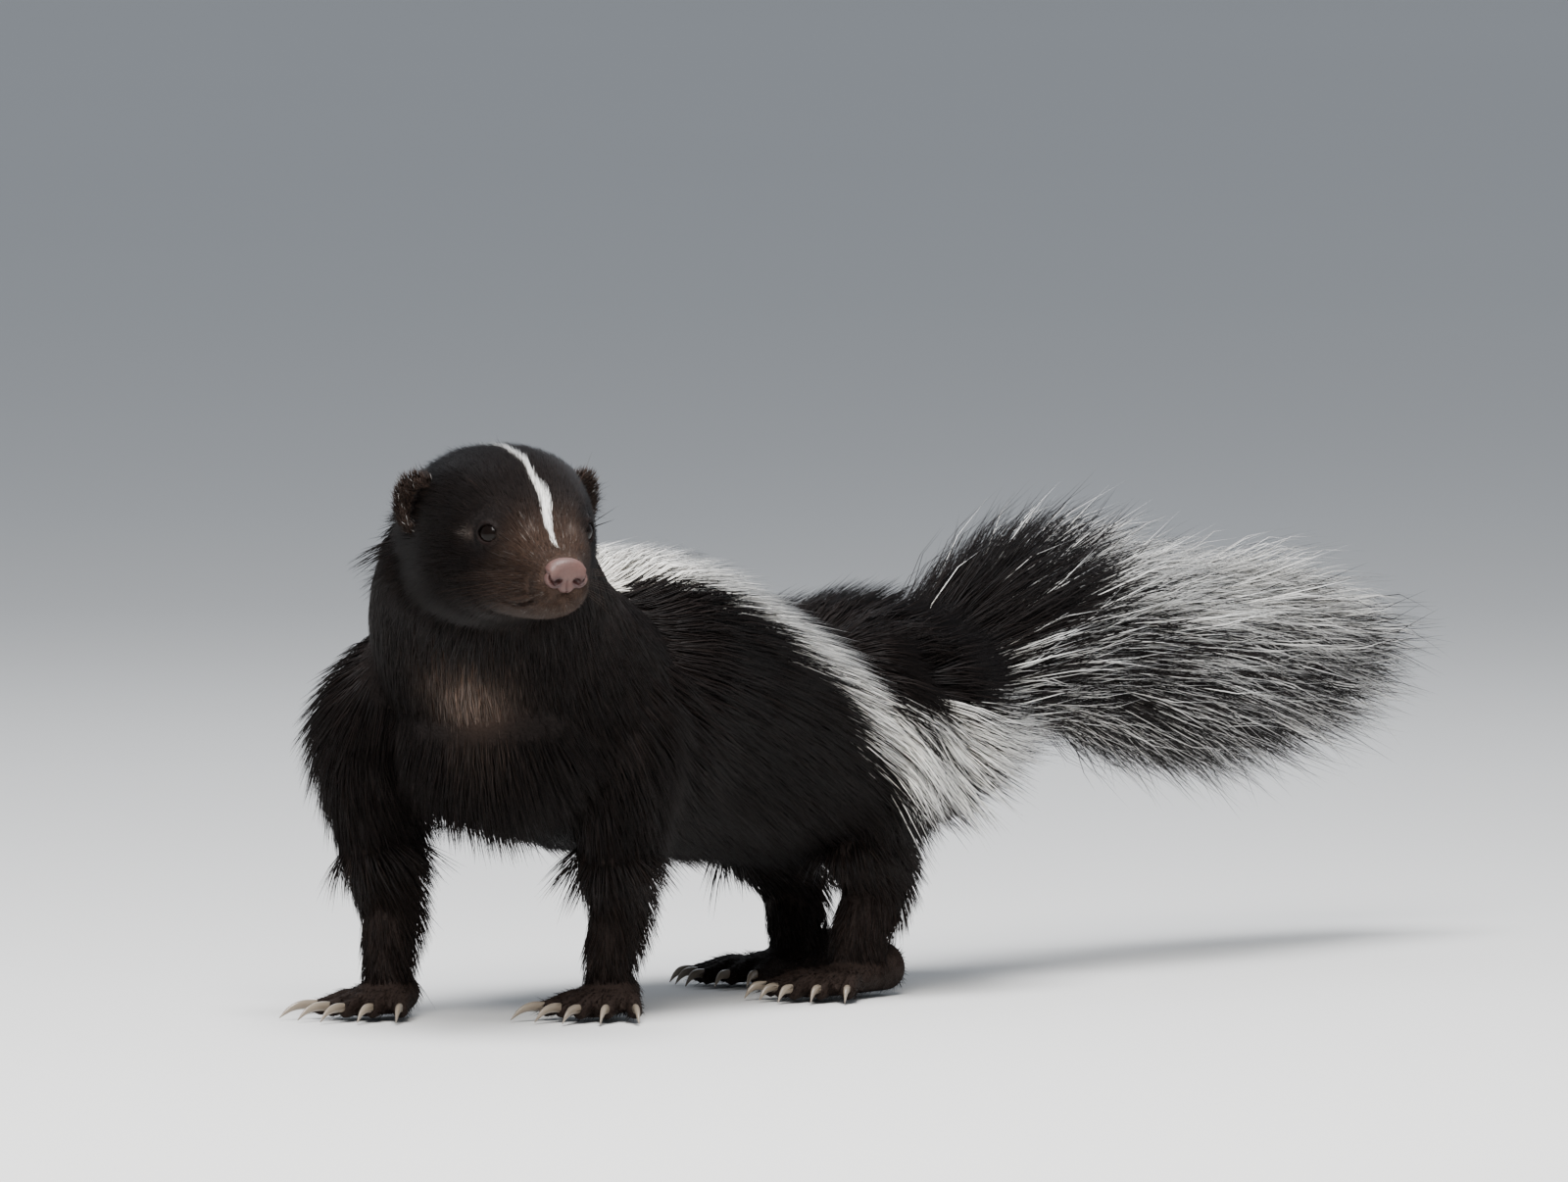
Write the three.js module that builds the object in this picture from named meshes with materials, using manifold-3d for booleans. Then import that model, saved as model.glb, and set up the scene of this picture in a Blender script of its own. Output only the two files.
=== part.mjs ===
// A life-size striped skunk that stands with its right forefoot ahead, its head turned
// to its left and its long-haired tail carried low behind it.
// Millimetres: the body heads along +X, its left side is +Y and the floor is z = 0.
// The origin lies on the floor, under the middle of the standing animal.
import * as THREE from "three";
import { mergeVertices } from "three/addons/utils/BufferGeometryUtils.js";
import Module from "manifold-3d";

const wasm = await Module();
wasm.setup();

// The gap between parts that touch, and the start of the random draws
const GAP = 0.3;
const SEED = 11;

// Where the origin lies, measured in the frame that the spine is drawn in
const MIDDLE = { x: -115, y: 15.7 };

// The spine's sideways bow, as the rise to the left per square millimetre along it
const BOW = { front: 0.0011, rear: 0.0005 };

// The torso under its outer coat, in stations from the rump to the chest
const TORSO = {
  x: [-124, -94, -58, -10, 40, 84, 112],
  top: [106, 124, 124, 140, 149, 146, 130],
  bottom: [68, 54, 50, 50, 52, 56, 64],
  halfWidth: [36, 52, 56, 56, 53, 50, 40],
};

// The neck under its outer coat, from inside the shoulders to inside the skull
const NECK = {
  from: [84, 9, 112],
  bend: [116, 17, 134],
  to: [146, 36, 160],
  halfWidth: [54, 47, 38],
  above: [43, 36, 30],
  below: [48, 41, 34],
};
// The plane that parts the neck from the torso: a point on it and its steepness
const COLLAR = { point: [108, 14, 134], normal: [0.8, 0.18, 0.57] };

// The head: where the point midway between its eyes is, and how it turns and tips
const HEAD = {
  at: [172, 76, 165],
  turn: 57.7,
  nod: 9,
  // stations from the back of the skull to the end of the muzzle, eyes at x = 0
  x: [-50, -39, -28, -17, -6, 4, 14, 22.5],
  top: [18, 21.5, 22, 20, 15.5, 8.5, 2.5, -1.5],
  bottom: [-39, -38, -36, -33.5, -31, -28.5, -26, -22],
  halfWidth: [28, 30.5, 30.5, 27.5, 22.5, 17.5, 13.5, 9.2],
  square: 0.86,
};
const EYE = { at: [-1.5, 14.6, 0], radius: 4.9, aim: [0.66, 0.75, 0.1], lid: 1.2 };
const EYE_OPENING = { halfLength: 4.7, upper: 3.9, lower: 3.2 };
const NOSE = { at: [27.6, 0, -8.2], half: [4, 7.4, 5.6] };
const NOSTRIL = { at: [31.2, 3.9, -8.8], half: [3, 1.7, 1.6], splay: 0.6 };
// The line of the mouth, as a share of the head's length and an angle below its side
const MOUTH = { corner: 0.73, front: 0.985, angle: 0.52, dip: 0.1, lip: 1.3, depth: 1.9, slit: 0.42 };
const EAR = {
  at: [-36, 29, 6],
  half: [4.4, 8.2, 11.2],
  cup: [3.8, 6.8, 9.6],
  cupShift: [2.1, 0, -0.3],
  turnOut: 0.62,
  leanOut: 0.26,
};

// The tail's bony core with the dense inner coat
const TAIL = {
  points: [
    [-112, 7, 92],
    [-142, 9, 102],
    [-176, 10, 111],
    [-214, 9, 113],
    [-256, 7, 110],
    [-300, 6, 107],
    [-344, 6, 105],
  ],
  radius: [20, 20, 21, 22, 20, 15, 8],
};

// Legs: where each foot stands and turns, and where the limb starts and bends in the body
const FORELEGS = {
  right: { foot: [113, -29], turn: 4, start: [99, -20, 134], bend: [110, -38, 92] },
  left: { foot: [74, 33], turn: 14, start: [84, 34, 132], bend: [80, 40, 92] },
};
const HINDLEGS = {
  right: { foot: [-104, -21], turn: -14, start: [-84, -22, 106], bend: [-80, -32, 84] },
  left: { foot: [-60, 37], turn: 2, start: [-78, 26, 106], bend: [-62, 38, 84] },
};
// A limb has an upper part, which belongs to the torso, and a lower one, which is the leg
const FORE_UPPER = { halfWidth: [12, 20, 20, 14], halfDepth: [18, 25, 23, 18] };
const HIND_UPPER = { halfWidth: [18, 24, 22, 15], halfDepth: [26, 34, 30, 20] };
const FORELEG = { halfWidth: [14, 11.5, 10, 9.5], halfDepth: [16, 13, 11, 10.5], bend: -4 };
const HINDLEG = { halfWidth: [14, 12, 10.5, 10], halfDepth: [20, 16, 12.5, 12], bend: -9 };
const KNEE_HEIGHT = 56;
const FOREPAW = {
  wrist: 19,
  palm: { back: -6, front: 15, halfWidth: [9, 11.5, 11], height: [17, 13.5, 9] },
  toe: { length: 13, radius: 4, claw: 13, clawRadius: 1.4 },
};
const HINDPAW = {
  wrist: 20,
  palm: { back: -14, front: 28, halfWidth: [9.5, 11, 12], height: [19, 13, 9] },
  toe: { length: 13, radius: 4.1, claw: 7, clawRadius: 1.35 },
};
const TOES = 5;
const TOE_FAN = 0.24;

// Locks of the coat: half of one's width, its other sizes, and how it lies and hangs;
// then how many stand in each tier, and how many tiers lie over the root of the tail
const BODY_LOCK = { length: 66, width: 14, thickness: 3, sink: 5, lift: 8, droop: 5 };
const LIMB_LOCK = { length: 30, width: 9, thickness: 2.2, sink: 4, lift: 1, droop: 0 };
const NECK_LOCK = { length: 44, width: 12, thickness: 2.6, sink: 4, lift: 3, droop: 2 };
const TAIL_LOCK = { length: 90, width: 12, thickness: 2.8, sink: 6, lift: 20, droop: 16 };
const TIER = { trunk: 8, neck: 9, limb: 3, tail: 8, overTail: 3 };

const COLORS = {
  black: 0x17140f,
  nape: 0x3a342e,
  grey: 0x6b6761,
  skin: 0x5a4038,
  eye: 0x080605,
};

/** A repeatable stream of numbers from 0 to 1 */
function randomFrom(seed) {
  let state = seed;
  return () => {
    state = (state + 0x6d2b79f5) | 0;
    let mixed = Math.imul(state ^ (state >>> 15), 1 | state);
    mixed = (mixed + Math.imul(mixed ^ (mixed >>> 7), 61 | mixed)) ^ mixed;
    return ((mixed ^ (mixed >>> 14)) >>> 0) / 4294967296;
  };
}

const vector = (place) => new THREE.Vector3(...place);
const radians = THREE.MathUtils.degToRad;
const mix = THREE.MathUtils.lerp;
const mixPlaces = (from, to, share) => from.map((value, i) => mix(value, to[i], share));
const mirrored = ([x, y, z], side) => [x, y * side, z];
const ball = (radius) => [radius, radius, radius];
const bowOf = (x) => (x > 0 ? BOW.front : BOW.rear) * x * x;
const softened = (value, square) => Math.sign(value) * Math.abs(value) ** square;

/** A smooth run through evenly spaced sizes, read at 0 to 1 */
function through(values) {
  const run = new THREE.SplineCurve(values.map((size, i) => new THREE.Vector2(i, size)));
  return (t) => run.getPoint(t).y;
}

/** The solid inside a closed three.js geometry */
function solidOf(geometry) {
  geometry.deleteAttribute("normal");
  geometry.deleteAttribute("uv");
  const merged = mergeVertices(geometry, 1e-3);
  return new wasm.Manifold(
    new wasm.Mesh({
      numProp: 3,
      vertProperties: merged.attributes.position.array,
      triVerts: new Uint32Array(merged.index.array),
    }),
  );
}

const join = (solids) => solids.reduce((whole, next) => whole.add(next));

/** The largest closed surface of a solid */
function largest(solid) {
  return solid.decompose().reduce((best, next) => (next.volume() > best.volume() ? next : best));
}

/** An ellipsoid: its middle, its half sizes and its turns about x, y and z */
function ellipsoid(at, half, turns = [0, 0, 0], sides = 12, rows = 8) {
  const turn = new THREE.Quaternion().setFromEuler(new THREE.Euler(...turns, "ZYX"));
  const place = new THREE.Matrix4().compose(vector(at), turn, vector(half));
  return solidOf(new THREE.SphereGeometry(1, sides, rows).applyMatrix4(place));
}

/** All the space behind a plane, as a box that outreaches the animal */
function spaceBehind(point, normal, reach = 900) {
  const box = new THREE.BoxGeometry(reach, reach, reach).translate(0, 0, -reach / 2);
  const upright = new THREE.Vector3(0, 0, 1);
  const turn = new THREE.Quaternion().setFromUnitVectors(upright, vector(normal).normalize());
  const size = new THREE.Vector3(1, 1, 1);
  return solidOf(box.applyMatrix4(new THREE.Matrix4().compose(vector(point), turn, size)));
}

/** A form whose sections follow a path, with round ends, or pointed ones where cap is 0 */
class Sweep {
  constructor({
    points,
    up = [0, 0, 1],
    width,
    above,
    below = above,
    square = 1,
    cap = 0.7,
    phase = 0,
    rows,
    sides,
  }) {
    this.path = new THREE.CatmullRomCurve3(points.map(vector));
    this.up = vector(up);
    Object.assign(this, { width, above, below, square, cap, phase, rows, sides });
    if (cap === 0) this.capRows = 0;
    else this.capRows = rows < 10 ? 2 : 3;
  }

  /** The section's centre and its three directions at a share t of the length */
  frame(t) {
    const along = this.path.getTangent(t);
    const side = new THREE.Vector3().crossVectors(along, this.up).normalize();
    const up = new THREE.Vector3().crossVectors(side, along);
    return { centre: this.path.getPoint(t), along, side, up };
  }

  /** A point of the surface, at an angle that runs from the right side over the top */
  point(t, angle, grow = 0, scale = 1, lead = 0) {
    const { centre, along, side, up } = this.frame(t);
    const across = softened(Math.cos(angle), this.square);
    const lift = softened(Math.sin(angle), this.square);
    const reach = lift > 0 ? this.above(t) : this.below(t);
    return centre
      .addScaledVector(side, across * (this.width(t) + grow) * scale)
      .addScaledVector(up, lift * (reach + grow) * scale)
      .addScaledVector(along, lead);
  }

  /** The way out of the surface there */
  normal(t, angle) {
    const step = 0.01;
    const around = this.point(t, angle + step).sub(this.point(t, angle - step));
    const ahead = this.point(Math.min(t + step, 1), angle).sub(this.point(Math.max(t - step, 0), angle));
    return ahead.cross(around).normalize();
  }

  /** One vertex of the grid that closes the form */
  gridPoint(row, angle, grow) {
    const fromEnd = Math.min(row, this.rows - row);
    const way = row < this.rows / 2 ? -1 : 1;
    if (this.capRows === 0 && fromEnd === 0) return this.point(row / this.rows, angle, 0, 0, way * grow * 3);
    if (fromEnd >= this.capRows) {
      return this.point((row - this.capRows) / (this.rows - 2 * this.capRows), angle, grow);
    }
    const t = way < 0 ? 0 : 1;
    const turn = ((fromEnd / this.capRows) * Math.PI) / 2;
    const reach = this.cap * Math.min(this.width(t), (this.above(t) + this.below(t)) / 2) + grow;
    return this.point(t, angle, grow, Math.sin(turn), way * reach * Math.cos(turn));
  }

  /** The closed form as a solid, grown outwards where a neighbour needs clearance */
  solid(grow = 0) {
    const geometry = new THREE.SphereGeometry(1, this.sides, this.rows);
    const place = geometry.attributes.position;
    const columns = this.sides + 1;
    for (let i = 0; i < place.count; i += 1) {
      const angle = this.phase + ((i % columns) / this.sides) * 2 * Math.PI;
      const { x, y, z } = this.gridPoint(Math.floor(i / columns), angle, grow);
      place.setXYZ(i, x, y, z);
    }
    return solidOf(geometry);
  }
}

/** One flat lock with a ridge along its top, which tapers to its tip and bends as it goes */
function lock(root, outward, lie, kind, size, rows) {
  const { length, width, thickness, sink, lift, droop } = kind;
  const reach = length * size;
  const along = (share, rise) =>
    root
      .clone()
      .addScaledVector(lie, reach * share)
      .addScaledVector(outward, rise * size)
      .add(new THREE.Vector3(0, 0, -droop * share ** 2 * size));
  const start = root.clone().addScaledVector(outward, -sink);
  const points = [start, along(0.33, lift * 0.5), along(0.68, lift * 0.85), along(1, lift)];
  const taper = through([0.5, 1, 0.88, 0.5, 0.1]);
  return new Sweep({
    points: points.map((point) => point.toArray()),
    up: outward.toArray(),
    width: (t) => width * taper(t),
    above: (t) => thickness * mix(1, 0.4, t),
    cap: 0,
    phase: Math.PI / 2,
    rows,
    sides: 3,
  });
}

/** Locks set in overlapping tiers over a form, from one angle round to another */
function tiersOfLocks(form, kind, { tiers, count, from, to, angles, draw, rows = 4, lieAt, sizeAt }) {
  const locks = [];
  for (let tier = 0; tier < tiers; tier += 1) {
    const stagger = (tier % 2) * 0.5;
    for (let i = 0; i < count; i += 1) {
      const t = mix(from, to, (tier + 0.35 * (draw() - 0.5)) / (tiers - 1));
      const spot = THREE.MathUtils.clamp(t, 0, 1);
      const angle = mix(...angles, (i + stagger + 0.3 * (draw() - 0.5)) / count);
      const outward = form.normal(spot, angle);
      const size = mix(0.88, 1.12, draw()) * (sizeAt ? sizeAt(spot) : 1);
      locks.push(lock(form.point(spot, angle), outward, lieAt(spot, angle, outward), kind, size, rows));
    }
  }
  return locks;
}

const flattened = (lie, outward) => lie.addScaledVector(outward, -lie.dot(outward)).normalize();

/** The lie of the coat on the trunk: back along the body, sinking down its sides */
function trunkLie(form) {
  return (t, angle, outward) => {
    const lie = form.frame(t).along.negate();
    lie.z -= 0.42 * Math.abs(Math.cos(angle));
    return flattened(lie, outward);
  };
}

/** The lie of the coat along a form's own path, swept back by a share */
function pathLie(form, sweepBack) {
  return (t, angle, outward) => {
    const lie = form.frame(t).along;
    lie.x -= sweepBack;
    return flattened(lie, outward);
  };
}

/** The torso, with its back's line and belly's line as the stations give them */
function torsoForm() {
  const top = through(TORSO.top);
  const bottom = through(TORSO.bottom);
  return new Sweep({
    points: TORSO.x.map((x, i) => [x, bowOf(x), (TORSO.top[i] + TORSO.bottom[i]) / 2]),
    width: through(TORSO.halfWidth),
    above: (t) => (top(t) - bottom(t)) / 2,
    cap: 0.72,
    rows: 16,
    sides: 16,
  });
}

function neckForm() {
  return new Sweep({
    points: [NECK.from, NECK.bend, NECK.to],
    width: through(NECK.halfWidth),
    above: through(NECK.above),
    below: through(NECK.below),
    cap: 0.4,
    rows: 10,
    sides: 14,
  });
}

function tailForm() {
  const radius = through(TAIL.radius);
  return new Sweep({ points: TAIL.points, width: radius, above: radius, cap: 0.8, rows: 16, sides: 10 });
}

/** Where a limb passes from the body into the leg */
function kneeOf({ foot, bend }) {
  const share = (bend[2] - KNEE_HEIGHT) / bend[2];
  return mixPlaces(bend, [...foot, 0], share);
}

/** The shoulder or haunch, down to where the leg starts */
function upperLimbForm(stance, { halfWidth, halfDepth }) {
  return new Sweep({
    points: [stance.start, mixPlaces(stance.start, stance.bend, 0.55), stance.bend, kneeOf(stance)],
    up: [1, 0, 0],
    width: through(halfWidth),
    above: through(halfDepth),
    cap: 0.6,
    rows: 8,
    sides: 9,
  });
}

/** The leg, from inside the upper limb to inside the foot */
function legForm(stance, { halfWidth, halfDepth, bend }, ankle) {
  const [x, y] = stance.foot;
  const knee = kneeOf(stance);
  const shin = mixPlaces(knee, [x, y, ankle], 0.5);
  shin[0] += bend;
  return new Sweep({
    points: [knee, shin, [x, y, ankle], [x, y, ankle - 6]],
    up: [1, 0, 0],
    width: through(halfWidth),
    above: through(halfDepth),
    cap: 0.6,
    rows: 8,
    sides: 9,
  });
}

/** A toe and its claw, fanned out from the front of the foot */
function toeSolids({ palm, toe }, index) {
  const fan = (index - (TOES - 1) / 2) * TOE_FAN;
  const heading = new THREE.Vector3(Math.cos(fan), Math.sin(fan), 0);
  const root = new THREE.Vector3(palm.front - 8 - 14 * Math.abs(fan), fan * 15, 0);
  const reach = 8 + toe.length;
  const at = (share, height) =>
    root.clone().addScaledVector(heading, share).setZ(height).toArray();
  const pad = new Sweep({
    points: [at(0, 5.5), at(reach * 0.6, 5.6), at(reach - 2, 3.8)],
    width: () => toe.radius * 0.88,
    above: () => toe.radius,
    cap: 0.8,
    rows: 5,
    sides: 5,
  });
  const claw = new Sweep({
    points: [
      at(reach - 5, 4.4),
      at(reach + toe.claw * 0.3, 4.8),
      at(reach + toe.claw * 0.72, 3.3),
      at(reach + toe.claw, 0.8),
    ],
    width: (t) => toe.clawRadius * mix(1, 0.35, t),
    above: (t) => toe.clawRadius * mix(1.35, 0.4, t),
    cap: 0,
    phase: Math.PI / 2,
    rows: 4,
    sides: 3,
  });
  return [pad.solid(), claw.solid()];
}

/** A foot on the floor, heading along +X from its ankle over the origin */
function pawSolid(sizes, ankleSize) {
  const { wrist, palm } = sizes;
  const height = through(palm.height);
  const sole = new Sweep({
    points: [
      [palm.back, 0, palm.height[0] / 2],
      [mix(palm.back, palm.front, 0.5), 0, palm.height[1] / 2],
      [palm.front, 0, palm.height[2] / 2],
    ],
    width: through(palm.halfWidth),
    above: (t) => height(t) / 2,
    below: (t) => height(t) / 2 + 1,
    cap: 0.6,
    rows: 7,
    sides: 9,
  });
  const ankle = new Sweep({
    points: [[0, 0, wrist + 6], [0, 0, wrist], [0, 0, 8]],
    up: [1, 0, 0],
    width: () => ankleSize.halfWidth.at(-1),
    above: () => ankleSize.halfDepth.at(-1),
    cap: 0.3,
    rows: 5,
    sides: 9,
  });
  const pieces = [sole.solid(), ankle.solid()];
  for (let i = 0; i < TOES; i += 1) pieces.push(...toeSolids(sizes, i));
  const floor = spaceBehind([0, 0, 0], [0, 0, 1]);
  const underAnkle = spaceBehind([0, 0, wrist - GAP / 2], [0, 0, 1]);
  return largest(join(pieces).subtract(floor).intersect(underAnkle));
}

/** The head's form, eyes at x = 0, nose to +X */
function headForm() {
  const top = through(HEAD.top);
  const bottom = through(HEAD.bottom);
  return new Sweep({
    points: HEAD.x.map((x, i) => [x, 0, (HEAD.top[i] + HEAD.bottom[i]) / 2]),
    width: through(HEAD.halfWidth),
    above: (t) => (top(t) - bottom(t)) / 2,
    square: HEAD.square,
    cap: 0.5,
    rows: 18,
    sides: 20,
  });
}

const torso = torsoForm();
const neck = neckForm();
const tail = tailForm();
const head = headForm();

/** One side's stretch of the line of the mouth, laid on the head's surface */
function mouthLine(side) {
  const steps = 5;
  const points = [];
  for (let i = 0; i <= steps; i += 1) {
    const share = i / steps;
    const below = MOUTH.angle + MOUTH.dip * Math.sin(share * Math.PI);
    const t = mix(MOUTH.corner, MOUTH.front, share);
    points.push(head.point(t, side < 0 ? -below : Math.PI + below).toArray());
  }
  const height = points[steps][2];
  points.push([NOSE.at[0] + 1.2, side * 3, height + 0.6], [NOSE.at[0] + 1.6, -side * 0.8, height + 1]);
  return points;
}

/** A band along the line of the mouth, wide into the face and half as high as given */
function mouthBand(side, width, height) {
  return new Sweep({
    points: mouthLine(side),
    width: () => width,
    above: () => height,
    cap: 0.5,
    rows: 9,
    sides: 4,
  }).solid();
}

/** The opening between the lids, as a cutter that points the way the eye looks */
function lidOpening(side) {
  const { halfLength, upper, lower } = EYE_OPENING;
  const almond = new THREE.Shape();
  almond.moveTo(-halfLength, 0);
  almond.quadraticCurveTo(0, -2 * lower, halfLength, 0);
  almond.quadraticCurveTo(0, 2 * upper, -halfLength, 0);
  const options = { depth: 14, bevelEnabled: false, curveSegments: 5 };
  const out = vector(mirrored(EYE.aim, side)).normalize();
  const across = new THREE.Vector3().crossVectors(new THREE.Vector3(0, 0, 1), out).normalize();
  const up = new THREE.Vector3().crossVectors(out, across);
  const turn = new THREE.Matrix4().makeBasis(across, up, out);
  turn.setPosition(vector(mirrored(EYE.at, side)));
  return solidOf(new THREE.ExtrudeGeometry(almond, options).applyMatrix4(turn));
}

/** The head with its nose, lips, lids, eye sockets and nostrils */
function headSolid() {
  let solid = head.solid().add(ellipsoid(NOSE.at, NOSE.half, [0, 0, 0], 14, 8));
  for (const side of [-1, 1]) {
    solid = solid
      .add(ellipsoid(mirrored(EYE.at, side), ball(EYE.radius + EYE.lid)))
      .add(mouthBand(side, MOUTH.lip, MOUTH.lip));
  }
  for (const side of [-1, 1]) {
    const nostril = ellipsoid(mirrored(NOSTRIL.at, side), NOSTRIL.half, [0, 0, side * NOSTRIL.splay], 8, 6);
    solid = solid
      .subtract(ellipsoid(mirrored(EYE.at, side), ball(EYE.radius + GAP)))
      .subtract(lidOpening(side))
      .subtract(mouthBand(side, MOUTH.depth, MOUTH.slit))
      .subtract(nostril);
  }
  return largest(solid);
}

/** The outer form of an ear, grown where a neighbour needs clearance */
function earShell(side, grow = 0) {
  const turns = [-side * EAR.leanOut, 0, side * EAR.turnOut];
  return ellipsoid(mirrored(EAR.at, side), EAR.half.map((half) => half + grow), turns);
}

/** One ear: a thin rounded shell, hollow in front, cut to the side of the head */
function earSolid(side) {
  const turns = [-side * EAR.leanOut, 0, side * EAR.turnOut];
  const turn = new THREE.Quaternion().setFromEuler(new THREE.Euler(...turns, "ZYX"));
  const cupAt = vector(EAR.cupShift).applyQuaternion(turn).add(vector(mirrored(EAR.at, side)));
  const cup = ellipsoid(cupAt.toArray(), EAR.cup, turns);
  return largest(earShell(side).subtract(cup).subtract(head.solid(GAP)));
}

/** A named mesh of one finish */
function meshOf(name, solid, color, roughness = 0.8) {
  const { vertProperties, triVerts } = solid.getMesh();
  const geometry = new THREE.BufferGeometry();
  geometry.setAttribute("position", new THREE.BufferAttribute(vertProperties, 3));
  geometry.setIndex(new THREE.BufferAttribute(triVerts, 1));
  geometry.computeVertexNormals();
  const material = new THREE.MeshStandardMaterial({ color, roughness, metalness: 0 });
  const mesh = new THREE.Mesh(geometry, material);
  mesh.name = name;
  return mesh;
}

const skunk = new THREE.Group();
skunk.name = "striped_skunk";
skunk.position.set(-MIDDLE.x, -MIDDLE.y, 0);

const headGroup = new THREE.Group();
headGroup.position.set(...HEAD.at);
headGroup.rotation.set(0, radians(HEAD.nod), radians(HEAD.turn), "ZYX");
headGroup.updateMatrix();
headGroup.add(meshOf("head", headSolid(), COLORS.black));
for (const [name, side] of Object.entries({ right: -1, left: 1 })) {
  const eye = ellipsoid(mirrored(EYE.at, side), ball(EYE.radius));
  headGroup.add(meshOf(`ear_${name}`, earSolid(side), COLORS.skin));
  headGroup.add(meshOf(`eye_${name}`, eye, COLORS.eye, 0.08));
}
skunk.add(headGroup);

const draw = randomFrom(SEED);
const trunkLocks = tiersOfLocks(torso, BODY_LOCK, {
  tiers: 6,
  count: TIER.trunk,
  from: 0.95,
  to: 0.08,
  angles: [-0.7, Math.PI + 0.7],
  draw,
  lieAt: trunkLie(torso),
  rows: 3,
  sizeAt: through([0.72, 0.95, 1.05, 1, 0.85]),
});
const neckLocks = tiersOfLocks(neck, NECK_LOCK, {
  tiers: 3,
  count: TIER.neck,
  from: 0.88,
  to: 0.3,
  angles: [-1.3, Math.PI + 1.3],
  draw,
  rows: 3,
  lieAt: trunkLie(neck),
});

// Each limb: its upper form stays with the torso, its leg and foot are parts of their own
const LIMBS = {
  foreleg_right: [FORELEGS.right, FORE_UPPER, FORELEG, FOREPAW, -1],
  foreleg_left: [FORELEGS.left, FORE_UPPER, FORELEG, FOREPAW, 1],
  hindleg_right: [HINDLEGS.right, HIND_UPPER, HINDLEG, HINDPAW, -1],
  hindleg_left: [HINDLEGS.left, HIND_UPPER, HINDLEG, HINDPAW, 1],
};
const uppers = [];
const limbLocks = [];
for (const [stance, upperSizes, , , side] of Object.values(LIMBS)) {
  const upper = upperLimbForm(stance, upperSizes);
  uppers.push(upper);
  limbLocks.push(
    ...tiersOfLocks(upper, LIMB_LOCK, {
      tiers: 2,
      count: TIER.limb,
      from: 0.4,
      to: 0.8,
      angles: side < 0 ? [-1, 1.3] : [Math.PI - 1.3, Math.PI + 1],
      draw,
      rows: 3,
      lieAt: pathLie(upper, 0.5),
    }),
  );
}

const bodyLocks = [...trunkLocks, ...neckLocks, ...limbLocks];
const cores = [torso, neck, ...uppers];
const coresClear = join(cores.map((form) => form.solid(GAP)));
let coat = join(bodyLocks.map((form) => form.solid())).subtract(tail.solid(GAP));
for (const [name, [stance, , legSizes, paw]] of Object.entries(LIMBS)) {
  const leg = legForm(stance, legSizes, paw.wrist);
  const underAnkle = spaceBehind([0, 0, paw.wrist + GAP / 2], [0, 0, 1]);
  const legSolid = leg.solid().subtract(underAnkle).subtract(coresClear);
  skunk.add(meshOf(name, largest(legSolid), COLORS.black));
  coat = coat.subtract(leg.solid(GAP));

  const foot = new THREE.Group();
  foot.position.set(...stance.foot, 0);
  foot.rotation.z = radians(stance.turn);
  foot.add(meshOf(name.replace("leg", "paw"), pawSolid(paw, legSizes), COLORS.skin));
  skunk.add(foot);
}

// The trunk is made whole with its coat, then parted by a thin cut at the collar
const headClear = join([head.solid(GAP), earShell(-1, GAP), earShell(1, GAP)]).transform(
  headGroup.matrix.elements,
);
const trunk = join([...cores.map((form) => form.solid()), coat]).subtract(headClear);
const collarAt = (offset) => {
  const point = vector(COLLAR.point).addScaledVector(vector(COLLAR.normal).normalize(), offset);
  return spaceBehind(point.toArray(), COLLAR.normal);
};
skunk.add(meshOf("neck", largest(trunk.subtract(collarAt(GAP / 2))), COLORS.nape));
skunk.add(meshOf("torso", largest(trunk.intersect(collarAt(-GAP / 2))), COLORS.black));

// The tail's hair starts behind the locks of the rump, which hang over its root
const tailLocks = tiersOfLocks(tail, TAIL_LOCK, {
  tiers: 9,
  count: TIER.tail,
  from: 0.1,
  to: 0.99,
  angles: [0, 2 * Math.PI],
  draw,
  rows: 4,
  lieAt: pathLie(tail, 0),
  sizeAt: (t) => mix(0.9, 1.05, Math.sin(Math.PI * t)) * mix(1, 0.88, t),
});
const rumpLocks = trunkLocks.slice(-TIER.overTail * TIER.trunk);
const rumpClear = join(rumpLocks.map((form) => form.solid(GAP))).add(coresClear);
const tailSolid = join([tail, ...tailLocks].map((form) => form.solid())).subtract(rumpClear);
skunk.add(meshOf("tail", largest(tailSolid), COLORS.grey));

export default skunk;
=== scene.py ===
"""A life-size striped skunk, dressed for show.

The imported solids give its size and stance. This file gives them one skin, a coat of
tapered strands that lie as the real one does, eyes, a nose, claws and whiskers, and sets
the animal on a pale floor under soft light. Sizes in the classes are in millimetres.
"""

from __future__ import annotations

import logging
import math
from collections.abc import Callable, Sequence
from dataclasses import dataclass, field
from enum import Enum

import bmesh
import bpy
import numpy as np
from mathutils import Euler, Matrix, Vector
from mathutils.kdtree import KDTree

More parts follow.
